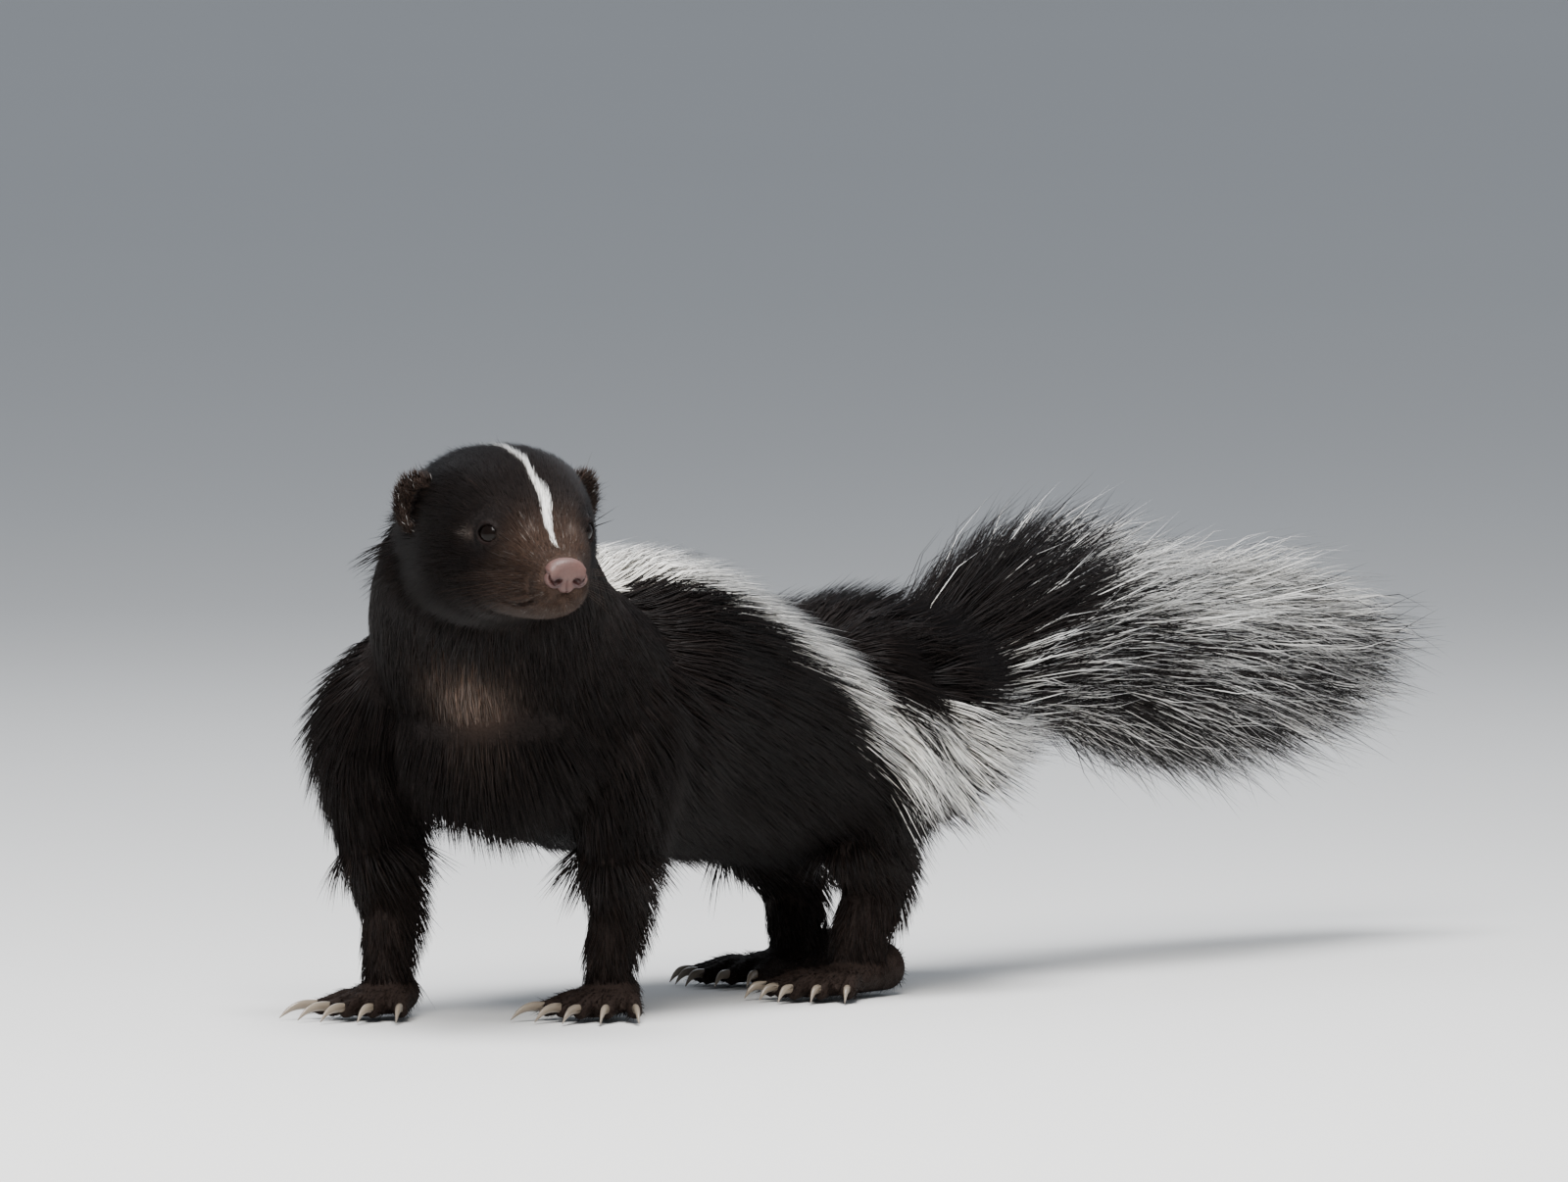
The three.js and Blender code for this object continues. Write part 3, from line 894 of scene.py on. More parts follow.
    def cutters(self) -> bpy.types.Mesh:
        """What is cut out of the head: the seats of the eyes and the gaps of the lids.

        Returns:
            The cutters, in the head's own frame and in metres.
        """
        seats = bmesh.new()
        gaps = bmesh.new()
        for side in Side:
            seat = (self.eye_radius + self.seat_gap,) * 3
            add_ellipsoid(seats, mirrored(self.eye_at, side), seat, sides=48)
            self.add_opening(gaps, side)
        both = combined(to_mesh("eye_seats", seats), to_mesh("lid_gaps", gaps), Cut.JOIN)
        return to_metres(both)

    def sculpted(self, mesh: bpy.types.Mesh) -> None:
        """Models brows, cheeks, lips and folds into the head's surface.

        Args:
            mesh: The head's surface, which is changed.
        """
        points = points_of(mesh) / MM
        normals = normals_of(mesh)
        shift = np.zeros(len(points))
        for at, spread, amount in self.swells:
            for side in Side:
                away = np.linalg.norm(points - mirrored(at, side), axis=1)
                shift += amount * np.exp(-((away / spread) ** 2) / 2)
        # the lips stand out a little on both sides of the fold between them
        lip_at, lip_spread, lip_height = (1.5, 0.8, 0.55)
        fold_spread, fold_depth = (0.62, 1.5)
        for side in Side:
            near, along = distance_to_path(points, self.mouth_path(side))
            fade = smooth_step(0.0, 0.12, along)
            shift += fade * lip_height * np.exp(-(((near - lip_at) / lip_spread) ** 2))
            shift -= fade * fold_depth * np.exp(-((near / fold_spread) ** 2))
        set_points(mesh, (points + normals * shift[:, None]) * MM)

    def skin(self) -> bpy.types.Mesh:
        """The head's surface, in its own frame and in metres.

        Returns:
            The surface.
        """
        whole = remeshed(self.shells(), self.voxel * MM, 8)
        whole = remeshed(combined(whole, self.cutters(), Cut.TAKE), self.voxel * MM, 2)
        self.sculpted(whole)
        return whole

    def eye(self, side: Side) -> bpy.types.Mesh:
        """One eyeball, set in its seat.

        Args:
            side: The side of the head.

        Returns:
            The eyeball, in metres from the origin.
        """
        bm = bmesh.new()
        add_ellipsoid(bm, (0, 0, 0), (self.eye_radius,) * 3, sides=48)
        return self.at_eye("eye", bm, side)

    def nose_form(self) -> bpy.types.Mesh:
        """The nose pad with its two nostrils, in the head's own frame and in metres.

        Returns:
            The pad.
        """
        x, _, z = self.nose_at
        bm = bmesh.new()
        # the front, the part over the lip, the bridge and the wings
        add_ellipsoid(bm, (x - 0.8, 0.0, z + 1.2), (4.4, 7.0, 4.4), sides=36)
        add_ellipsoid(bm, (x - 1.0, 0.0, z - 3.4), (3.8, 3.6, 2.7))
        add_ellipsoid(bm, (x - 4.0, 0.0, z + 2.1), (4.8, 4.8, 2.8), (0.0, 0.28, 0.0))
        for side in Side:
            add_ellipsoid(bm, mirrored((x + 0.2, 4.2, z - 0.4), side), (3.6, 3.3, 4.0))
        pad = remeshed(to_metres(to_mesh("nose_shells", bm)), 0.3 * MM, 8)
        # the front is flatter than a ball
        points = points_of(pad) / MM
        points[:, 0] -= 0.5 * np.maximum(points[:, 0] - (x + 1.8), 0.0)
        set_points(pad, points * MM)
        bm = bmesh.new()
        for side in Side:
            turns = (0, 0.2, 0.35 * side.value)
            add_ellipsoid(bm, mirrored((x + 3.4, 3.5, z - 1.9), side), (3.0, 1.5, 1.05), turns)
        holes = to_metres(remeshed(to_mesh("nostrils", bm), 0.18, 1))
        return remeshed(combined(pad, holes, Cut.TAKE), 0.25 * MM, 3)

    def nose(self) -> bpy.types.Mesh:
        """The bare pad of the nose, with its wings, nostrils and groove, and painted shade in the
        nostrils, in the groove and toward its bottom.

        Returns:
            The pad, in metres from the origin.
        """
        x, _, z = self.nose_at
        pad = self.nose_form()
        points = points_of(pad) / MM
        normals = normals_of(pad)
        groove = np.exp(-((points[:, 1] / 0.36) ** 2)) * smooth_step(z + 0.5, z - 3.0, points[:, 2])
        front = smooth_step(x - 1.0, x + 1.5, points[:, 0])
        # painted shade darkens the groove down the front of the pad
        painted_shade = 0.4 * groove * front
        shift = 0.6 * groove * front
        for side in Side:
            path = np.array([mirrored((0.0, across, z + height), side) for across, height in self.slit])
            near, along = distance_to_path(points * np.array([0.0, 1.0, 1.0]), path)
            line = np.exp(-((near / 0.5) ** 2)) * smooth_step(1.0, 0.6, along)
            shift += 1.3 * line * smooth_step(x - 3.0, x - 1.5, points[:, 0])
            hole = np.linalg.norm(points - mirrored((x + 1.6, 3.9, z - 1.9), side), axis=1)
            # painted shade darkens the inside of each nostril and its slit
            painted_shade = np.maximum(painted_shade, np.maximum(smooth_step(3.0, 1.4, hole), 0.95 * line))
        # painted shade, darker toward the bottom of the pad
        painted_shade += 0.3 * smooth_step(z + 1.5, z - 4.5, points[:, 2])
        set_points(pad, (points - normals * shift[:, None]) * MM)
        facts = np.zeros((len(points), 4), np.float32)
        # the first number of each vertex keeps how much painted shade it has
        facts[:, 0] = np.clip(painted_shade, 0.0, 1.0)
        write_facts(pad, facts)
        pad.transform(self.place_in_metres())
        return pad


@dataclass
class Body:
    """The trunk, neck and tail under the coat."""

    stations: tuple = (-124, -94, -58, -10, 40, 84, 112)
    top: tuple = (106, 124, 124, 140, 149, 146, 130)
    bottom: tuple = (68, 54, 50, 50, 52, 56, 64)
    half_width: tuple = (36, 52, 56, 56, 53, 50, 40)
    neck_points: tuple = ((84, 9, 112), (116, 17, 134), (146, 36, 160))
    neck_width: tuple = (50, 47, 38)
    neck_above: tuple = (43, 36, 30)
    neck_below: tuple = (48, 41, 34)
    tail_points: tuple = (
        (-112, 7, 92), (-142, 9, 102), (-176, 10, 111), (-214, 9, 113),
        (-256, 7, 110), (-300, 6, 107), (-344, 6, 105),
    )
    tail_radius: tuple = (16, 14, 13, 12.5, 11.5, 9.5, 5.5)

    def trunk(self) -> Form:
        """The torso, from the rump to the chest.

        Returns:
            The form.
        """
        points = [
            (x, float(bow_of(x)), (top + bottom) / 2)
            for x, top, bottom in zip(self.stations, self.top, self.bottom)
        ]
        above = (np.array(self.top) - np.array(self.bottom)) / 2
        return Form(points, self.half_width, above, Zone.TRUNK, cap=0.72)

    def neck(self) -> Form:
        """The neck, from inside the shoulders to inside the skull.

        Returns:
            The form.
        """
        width, above, below = self.neck_width, self.neck_above, self.neck_below
        return Form(self.neck_points, width, above, Zone.NECK, below=below, cap=0.4)

    def tail(self) -> Form:
        """The tail's flesh, without its hair."""
        return Form(self.tail_points, self.tail_radius, self.tail_radius, Zone.TAIL, cap=0.9)


@dataclass
class Coat:
    """How the hair of one zone grows. Widths are half widths, angles are in degrees."""

    zone: Zone
    slot: str
    count: int
    length: float
    width: float
    rings: int
    rise: float
    settle: float
    droop: float
    clump: float
    stray: float
    # how unlike the strands are in their angle, in how they turn aside and in their wave
    vary: float = 2.0
    curl: float = 0.09
    wave: float = 1.0

    def triangles(self) -> int:
        """How many triangles one strand has."""
        return (self.rings - 1) * 6 + 4


# Zone, slot, count, length, width, rings, rise, settle, droop, clump and stray of each coat
COATS = (
    Coat(Zone.TRUNK, "body_coat", 46000, 42, 0.28, 2, 24, 3, 0.10, 0.40, 0.07),
    Coat(Zone.LIMB, "body_coat", 12000, 26, 0.28, 2, 18, 4, 0.10, 0.35, 0.08),
    Coat(Zone.NECK, "neck_coat", 16000, 22, 0.26, 2, 11, 0, 0.15, 0.35, 0.04),
    Coat(Zone.HEAD, "head_coat", 60000, 6.4, 0.16, 1, 19, 19, 0.0, 0.10, 0.09),
    Coat(Zone.EAR, "ear_skin", 2600, 4.2, 0.15, 2, 26, 8, 0.0, 0.20, 0.20),
    Coat(Zone.TAIL, "tail_coat", 23500, 84, 0.235, 3, 12, -10, 0.12, 0.45, 0.09, 3.5, 0.16, 9.0),
    Coat(Zone.LEG, "leg_coat", 7500, 12, 0.24, 2, 20, 6, 0.05, 0.30, 0.10),
    Coat(Zone.PAW, "paw_skin", 5000, 4.6, 0.19, 1, 16, 16, 0.0, 0.10, 0.15),
)
# The most triangles that one piece of the coat is given
MOST_TRIANGLES = 190000


@dataclass
class Strands:
    """The strands of one zone: their roots, their lengths, and how they stand.

    The angles to the skin, at the root and at the tip, are in degrees.
    """

    roots: dict
    length: np.ndarray
    rise: np.ndarray
    settle: np.ndarray


@dataclass
class Guides:
    """Points spread under the coat that tell which zone a place is in and how hair lies."""

    points: list = field(default_factory=list)
    lies: list = field(default_factory=list)
    zones: list = field(default_factory=list)
    charts: list = field(default_factory=list)
    tree: KDTree | None = None

    def add(self, points: np.ndarray, lies: np.ndarray, zone: Zone, chart: np.ndarray) -> None:
        """Adds the points of one form.

        Args:
            points: Where they are.
            lies: Which way the hair lies there.
            zone: The zone that they stand for.
            chart: Each one's place on the zone's unwrap.
        """
        self.points.append(points)
        self.lies.append(unit(lies))
        self.zones.append(np.full(len(points), zone.value))
        self.charts.append(chart)

    def close(self) -> None:
        """Joins all that was added, ready to be searched."""
        self.points = np.vstack(self.points)
        self.lies = np.vstack(self.lies)
        self.zones = np.concatenate(self.zones)
        self.charts = np.vstack(self.charts)
        self.tree = tree_of(self.points)

    def nearest(self, points: np.ndarray) -> np.ndarray:
        """The index of the guide nearest to each point."""
        return nearest_in(self.tree, points)


class Markings:
    """The coat's pattern, told by functions that the skin and the hair both read."""

    # the brown patch on the breast, made paler with painted light: its middle, how each direction
    # counts, and its spread
    BREAST = (139.0, 24.0, 117.0)
    BREAST_SHAPE = (1.3, 1.3, 0.9)
    BREAST_SPREAD = 15.0
    # behind and before the eye, beside the bridge, and on the brow: place, spread, strength
    PALE_SPOTS = (
        (-7.2, 20.6, -1.3, 1.7, 0.65), (6.0, 12.6, -0.6, 1.3, 0.8),
        (12.8, 6.6, 1.4, 1.4, 0.25), (-1.0, 12.0, 7.6, 1.8, 0.35),
    )
    NAPE = ((132, 28, 176), (112, 17, 166), (86, 9, 158), (64, 5, 155))
    NAPE_HALF = (18, 31, 28, 22)
    STRIPE = (
        (66, 5, 150), (46, 13, 145), (32, 19, 140), (15, 25, 134), (-4, 34, 123),
        (-18, 42, 111), (-34, 50, 99), (-62, 54, 90), (-94, 52, 86), (-128, 40, 88),
    )
    STRIPE_HALF = (15, 15, 14, 12, 9.5, 8.5, 9, 11, 12, 10)
    # how far inside and outside its outline the white fades
    EDGE = 3.0
    BLAZE_AT = (-44, -31, -20, -8, 1, 8, 13, 19)
    BLAZE_HALF = (1.3, 1.0, 0.9, 0.85, 1.3, 1.6, 1.2, 0.2)
    BLAZE_EDGE = 0.35
    BLAZE_LOWEST = -4.0
    TAIL_HALF = 11.0
    # how brown the dark hair of each zone is, apart from the patch on the breast
    WARMTH = {Zone.LEG: 0.08, Zone.PAW: 0.12, Zone.EAR: 0.16}
    LEAST_WARMTH = 0.05

    def __init__(self, body: Body, head: Head) -> None:
        """Lays out the stripes.

        Args:
            body: The body that carries them.
            head: The head that carries the blaze.
        """
        self.body = body
        self.into_head = head.place().inverted()
        self.nape = np.array(self.NAPE, float)
        self.stripes = {
            side: np.array([(x, self.across(x, y, side), z) for x, y, z in self.STRIPE])
            for side in Side
        }

    @staticmethod
    def across(x: float, y: float, side: Side) -> float:
        """A place beside the spine, measured on the left, for either side."""
        return y if side is Side.LEFT else 2.0 * float(bow_of(x)) - y

    def in_head(self, points: np.ndarray) -> np.ndarray:
        """Places in the head's own frame."""
        return moved(points, self.into_head)

    def white(self, points: np.ndarray, zones: np.ndarray) -> np.ndarray:
        """How likely a hair that is rooted at each point is white.

        Args:
            points: Places on the skin.
            zones: The zone of each.

        Returns:
            A number from 0 to 1 for each.
        """
        amount = np.zeros(len(points))
        x, y, _ = points.T
        ripple = 2.0 * np.sin(x * 0.21) + 1.5 * np.sin(x * 0.53 + y * 0.3)
        for side in Side:
            near, along = distance_to_path(points, self.stripes[side])
            outside = near - read_run(self.STRIPE_HALF, along) - ripple
            fade = 1.0 - 0.25 * smooth_step(0.3, 0.9, along)
            amount = np.maximum(amount, smooth_step(self.EDGE, -self.EDGE, outside) * fade)
        near, along = distance_to_path(points, self.nape)
        outside = near - read_run(self.NAPE_HALF, along) - ripple
        amount = np.maximum(amount, smooth_step(self.EDGE, -self.EDGE, outside))
        amount *= np.isin(zones, [Zone.TRUNK.value, Zone.NECK.value, Zone.LIMB.value])
        head = zones == Zone.HEAD.value
        amount[head] = self.blaze(points[head])
        tail = zones == Zone.TAIL.value
        amount[tail] = self.tail_white(points[tail])
        return amount

    def blaze(self, points: np.ndarray) -> np.ndarray:
        """Tells where the thin white line down the forehead lies.

        Args:
            points: Places on the head.

        Returns:
            A number from 0 to 1 for each.
        """
        x, y, z = self.in_head(points).T
        half = np.interp(x, self.BLAZE_AT, self.BLAZE_HALF)
        wander = 0.3 * np.sin(x * 0.35)
        inside = smooth_step(self.BLAZE_EDGE, -self.BLAZE_EDGE, np.abs(y - wander) - half)
        return inside * (z > self.BLAZE_LOWEST) * (x < self.BLAZE_AT[-1])

    def tail_white(self, points: np.ndarray) -> np.ndarray:
        """Mixes the white of the tail, from its root to its tip and from top to bottom; its darker
        underside is partly its own black and partly painted shade.

        Args:
            points: Places on the tail's flesh.

        Returns:
            How likely a hair that is rooted there is white, from 0 to 1.
        """
        x, _, z = points.T
        path_x, _, path_z = np.array(self.body.tail_points, float).T
        share = np.clip((x - path_x[0]) / (path_x[-1] - path_x[0]), 0.0, 1.0)
        middle = np.interp(-x, -path_x, path_z)
        height = np.clip((z - middle) / self.TAIL_HALF, -1.0, 1.0)
        crest = smooth_step(0.0, 0.6, height)
        # the underside is darker: partly the tail's own black, partly painted shade
        under = smooth_step(-0.2, -0.8, height)
        front = smooth_step(0.34, 0.2, share)
        early = 0.42 * (1.0 - crest) * (1.0 - 0.5 * under)
        late = 0.42 + 0.48 * crest - 0.2 * under * smooth_step(0.95, 0.7, share)
        return np.clip(front * early + (1.0 - front) * late, 0.02, 1.0)

    def on_breast(self, points: np.ndarray) -> np.ndarray:
        """How near each point is to the middle of the breast's brown patch, from 0 to 1."""
        offset = (points - self.BREAST) * self.BREAST_SHAPE
        return np.exp(-(np.sum(offset**2, axis=1) / self.BREAST_SPREAD**2))

    def near_spots(self, local: np.ndarray, widen: float) -> np.ndarray:
        """Tells how near places are to the pale spots of the face.

        Args:
            local: Places in the head's own frame.
            widen: How much wider each spot is taken.

        Returns:
            The sum of what the spots give to each place, by their strength.
        """
        total = np.zeros(len(local))
        for *at, spread, strength in self.PALE_SPOTS:
            for side in Side:
                away = np.linalg.norm(local - mirrored(at, side), axis=1)
                total += strength * np.exp(-((away / (spread + widen)) ** 2))
        return total

    def pale(self, points: np.ndarray, zones: np.ndarray) -> np.ndarray:
        """How grey the dark hair is at each point: round the eyes, and on the breast, where the greying
        is painted light.

        Args:
            points: Places on the skin.
            zones: The zone of each.

        Returns:
            A number from 0 to 1 for each.
        """
        # painted light: the breast's patch is made paler where light falls on it
        amount = 0.07 * self.on_breast(points)
        head = zones == Zone.HEAD.value
        amount[head] += 0.15 * self.near_spots(self.in_head(points[head]), 0.0)
        return amount

    def warm(self, points: np.ndarray, zones: np.ndarray) -> np.ndarray:
        """How brown the dark hair is at each point.

        Args:
            points: Places on the skin.
            zones: The zone of each.

        Returns:
            A number from 0 to 1 for each.
        """
        amount = np.full(len(points), self.LEAST_WARMTH)
        for zone, warmth in self.WARMTH.items():
            amount[zones == zone.value] = warmth
        # the breast's brown patch: partly its own brown, partly painted light
        amount += 0.9 * self.on_breast(points)
        head = zones == Zone.HEAD.value
        local = self.in_head(points[head])
        muzzle = smooth_step(-2.0, 20.0, local[:, 0] - 0.4 * local[:, 2])
        tone = 0.07 + 0.36 * muzzle + 0.4 * self.near_spots(local, 0.4)
        amount[head] = np.clip(tone, 0.0, 1.0)
        return amount


@dataclass(frozen=True)
class HairFinish:
    """Hair from black through brown to white, and the bump of short fur on the skin."""

    black: tuple = (0.0022, 0.0022, 0.0027, 1.0)
    brown: tuple = (0.13, 0.075, 0.05, 1.0)
    cream: tuple = (0.66, 0.62, 0.54, 1.0)
    white: tuple = (0.92, 0.91, 0.89, 1.0)
    roughness: float = 0.5
    shine: float = 0.1
    grain: float = 900.0
    bump: float = 0.0
    bump_depth: float = 0.0006


@dataclass(frozen=True)
class BareFinish:
    """Skin without hair: its colour, a second tone, how fine its grain is, and an optional colour of
    painted shade.
    """

    name: str
    colour: tuple
    second: tuple
    grain: float
    bump: float
    roughness: float
    coat: float = 0.0
    shine: float = 0.5
    # the colour of painted shade, mixed in by the first number of each vertex
    painted_shade: tuple | None = None
    bump_depth: float = 0.0004


HAIR_FINISH = HairFinish()
SKIN_FINISH = HairFinish(roughness=0.75, bump=0.6)
# the nose's last colour is painted shade for its nostrils, its groove and its bottom
NOSE_FINISH = BareFinish(
    "nose_skin", (0.108, 0.051, 0.041, 1), (0.052, 0.025, 0.021, 1),
    grain=1800.0, bump=0.2, roughness=0.55, painted_shade=(0.030, 0.007, 0.006, 1),
)
CLAW_FINISH = BareFinish(
    "claw_horn", (0.30, 0.25, 0.19, 1), (0.10, 0.075, 0.055, 1),
    grain=400.0, bump=0.1, roughness=0.32, coat=0.2,
)
EYE_FINISH = BareFinish(
    "eye_gloss", (0.002, 0.0015, 0.0012, 1), (0.006, 0.003, 0.002, 1),
    grain=200.0, bump=0.0, roughness=0.16, shine=0.13,
)
LID_FINISH = BareFinish(
    "lid_skin", (0.004, 0.003, 0.003, 1), (0.012, 0.007, 0.006, 1),
    grain=900.0, bump=0.1, roughness=0.6, shine=0.04,
)
FLOOR_FINISH = BareFinish(
    "floor_paper", (0.72, 0.71, 0.69, 1), (0.68, 0.67, 0.65, 1), grain=3.0, bump=0.0, roughness=0.8
)


def feed(tree: bpy.types.NodeTree, node: bpy.types.Node, inputs: dict) -> None:
    """Gives the inputs of a node what they read.

    Args:
        tree: The nodes that it belongs to.
        node: The node.
        inputs: Another node's socket or a value for each input, by its name or place.
    """
    for name, source in inputs.items():
        if isinstance(source, bpy.types.NodeSocket):
            tree.links.new(source, node.inputs[name])
        else:
            node.inputs[name].default_value = source


def add_node(tree: bpy.types.NodeTree, kind: str, inputs: dict, **choices: object) -> bpy.types.Node:
    """Adds a node.

    Args:
        tree: The nodes that it joins.
        kind: Its type.
        inputs: What its inputs read, as for feed.
        choices: Its other settings.

    Returns:
        The node.
    """
    node = tree.nodes.new(kind)
    for name, choice in choices.items():
        setattr(node, name, choice)
    feed(tree, node, inputs)
    return node


class Finishes:
    """The materials, and the groups of nodes that they share."""

    def __init__(self) -> None:
        """Makes each material once."""
        self.tint = self.tint_group()
        self.grain = self.grain_group()
        self.hair = self.hair_material("coat_hair", HAIR_FINISH)
        self.skin = self.hair_material("coat_skin", SKIN_FINISH)
        self.nose = self.bare_material(NOSE_FINISH)
        self.claw = self.bare_material(CLAW_FINISH)
        self.eye = self.bare_material(EYE_FINISH)
        self.lid = self.bare_material(LID_FINISH)
        self.floor = self.bare_material(FLOOR_FINISH)

    @staticmethod
    def group(name: str, inputs: dict, outputs: dict) -> tuple:
        """Starts a group of nodes.

        Args:
            name: Its name.
            inputs: The names of its inputs, each with its kind.
            outputs: The names of its outputs, each with its kind.

        Returns:
            The group, its input node and its output node.
        """
        tree = bpy.data.node_groups.new(name, "ShaderNodeTree")
        for label, kind in inputs.items():
            tree.interface.new_socket(label, in_out="INPUT", socket_type=kind)
        for label, kind in outputs.items():
            tree.interface.new_socket(label, in_out="OUTPUT", socket_type=kind)
        return tree, tree.nodes.new("NodeGroupInput"), tree.nodes.new("NodeGroupOutput")

    def tint_group(self) -> bpy.types.NodeTree:
        """Mixes a hair's colour from what is known of it.

        Returns:
            The group.
        """
        colour = "NodeSocketColor"
        number = "NodeSocketFloat"
        tree, start, end = self.group(
            "coat_tint",
            {
                "Black": colour, "Brown": colour, "Cream": colour, "White": colour,
                "Mark": number, "Warm": number, "Tip": number, "Tone": number,
            },
            {"Color": colour},
        )
        known = start.outputs
        dark = self.mix(tree, known["Warm"], known["Black"], known["Brown"])
        light = self.mix(tree, known["Tip"], known["Cream"], known["White"])
        whole = self.mix(tree, known["Mark"], dark, light)
        levels = {"Value": known["Tone"], "To Min": 0.62, "To Max": 1.3}
        shade = add_node(tree, "ShaderNodeMapRange", levels)
        bright = {"Vector": whole, "Scale": shade.outputs["Result"]}
        scaled = add_node(tree, "ShaderNodeVectorMath", bright, operation="SCALE")
        feed(tree, end, {"Color": scaled.outputs["Vector"]})
        return tree

    @staticmethod
    def mix(tree: bpy.types.NodeTree, factor: object, first: object, second: object) -> object:
        """Adds a node that mixes two colours.

        Args:
            tree: The nodes that it joins.
            factor: The socket that gives the share of the second.
            first: The first colour, or its socket.
            second: The second colour, or its socket.

        Returns:
            The socket of the mixed colour.
        """
        inputs = {0: factor, 6: first, 7: second}
        return add_node(tree, "ShaderNodeMix", inputs, data_type="RGBA").outputs[2]

    def grain_group(self) -> bpy.types.NodeTree:
        """A fine grain for bare skin and horn, as a share and a height.

        Returns:
            The group.
        """
        tree, start, end = self.group(
            "fine_grain",
            {"Scale": "NodeSocketFloat"},
            {"Share": "NodeSocketFloat", "Height": "NodeSocketFloat"},
        )
        place = add_node(tree, "ShaderNodeTexCoord", {}).outputs["Object"]
        scale = start.outputs["Scale"]
        cells = add_node(tree, "ShaderNodeTexVoronoi", {"Vector": place, "Scale": scale})
        slow = add_node(tree, "ShaderNodeMath", {0: scale, 1: 0.18}, operation="MULTIPLY")
        slowly = {"Vector": place, "Scale": slow.outputs["Value"], "Detail": 4.0}
        cloud = add_node(tree, "ShaderNodeTexNoise", slowly)
        feed(tree, end, {"Share": cloud.outputs["Fac"], "Height": cells.outputs["Distance"]})
        return tree

    @staticmethod
    def material(name: str) -> tuple:
        """Starts a material.

        Args:
            name: Its name.

        Returns:
            The material, its nodes and its shader.
        """
        material = bpy.data.materials.new(name)
        material.use_nodes = True
        tree = material.node_tree
        return material, tree, tree.nodes["Principled BSDF"]

    def add_grain(self, tree: bpy.types.NodeTree, scale: float) -> bpy.types.Node:
        """Adds the fine grain to a material's nodes."""
        return add_node(tree, "ShaderNodeGroup", {"Scale": scale}, node_tree=self.grain)

    @staticmethod
    def add_facts(tree: bpy.types.NodeTree) -> tuple:
        """Adds the nodes that read the four numbers of a vertex.

        Args:
            tree: The nodes that they join.

        Returns:
            The sockets of the first three by colour name, and the socket of the fourth.
        """
        facts = add_node(tree, "ShaderNodeAttribute", {}, attribute_name=FACTS)
        parts = add_node(tree, "ShaderNodeSeparateColor", {"Color": facts.outputs["Color"]})
        return parts.outputs, facts.outputs["Alpha"]

    @staticmethod
    def add_bump(
        tree: bpy.types.NodeTree,
        shader: bpy.types.Node,
        fine: bpy.types.Node,
        finish: HairFinish | BareFinish,
    ) -> None:
        """finish: What tells how strong the bump is and its depth.
        """
        inputs = {"Strength": finish.bump, "Distance": finish.bump_depth}
        bump = add_node(tree, "ShaderNodeBump", inputs | {"Height": fine.outputs["Height"]})
        feed(tree, shader, {"Normal": bump.outputs["Normal"]})

    def hair_material(self, name: str, finish: HairFinish) -> bpy.types.Material:
        """Makes the coat's finish, for hair or for the skin under it.

        Args:
            name: The material's name.
            finish: Its colours and its bump.

        Returns:
            The material.
        """
        material, tree, shader = self.material(name)
        parts, tone = self.add_facts(tree)
        colours = {
            "Black": finish.black, "Brown": finish.brown, "Cream": finish.cream, "White": finish.white,
            "Mark": parts["Red"], "Warm": parts["Green"], "Tip": parts["Blue"], "Tone": tone,
        }
        tint = add_node(tree, "ShaderNodeGroup", colours, node_tree=self.tint)
        surface = {
            "Base Color": tint.outputs["Color"],
            "Roughness": finish.roughness,
            "Specular IOR Level": finish.shine,
        }
        feed(tree, shader, surface)
        if finish.bump > 0.0:
            self.add_bump(tree, shader, self.add_grain(tree, finish.grain), finish)
        return material

    def bare_material(self, finish: BareFinish) -> bpy.types.Material:
        """Makes the finish of something bare: nose, lid, claw, eye or floor.

        Args:
            finish: Its colours, its grain and its shine.

        Returns:
            The material.
        """
        material, tree, shader = self.material(finish.name)
        fine = self.add_grain(tree, finish.grain)
        tone = self.mix(tree, fine.outputs["Share"], finish.colour, finish.second)
        # painted shade, mixed in by the first number of each vertex
        if finish.painted_shade is not None:
            parts, _ = self.add_facts(tree)
            tone = self.mix(tree, parts["Red"], tone, finish.painted_shade)
        surface = {
            "Base Color": tone,
            "Specular IOR Level": finish.shine,
            "Roughness": finish.roughness,
            "Coat Weight": finish.coat,
        }
        feed(tree, shader, surface)
        if finish.bump > 0.0:
            self.add_bump(tree, shader, fine, finish)
        return material


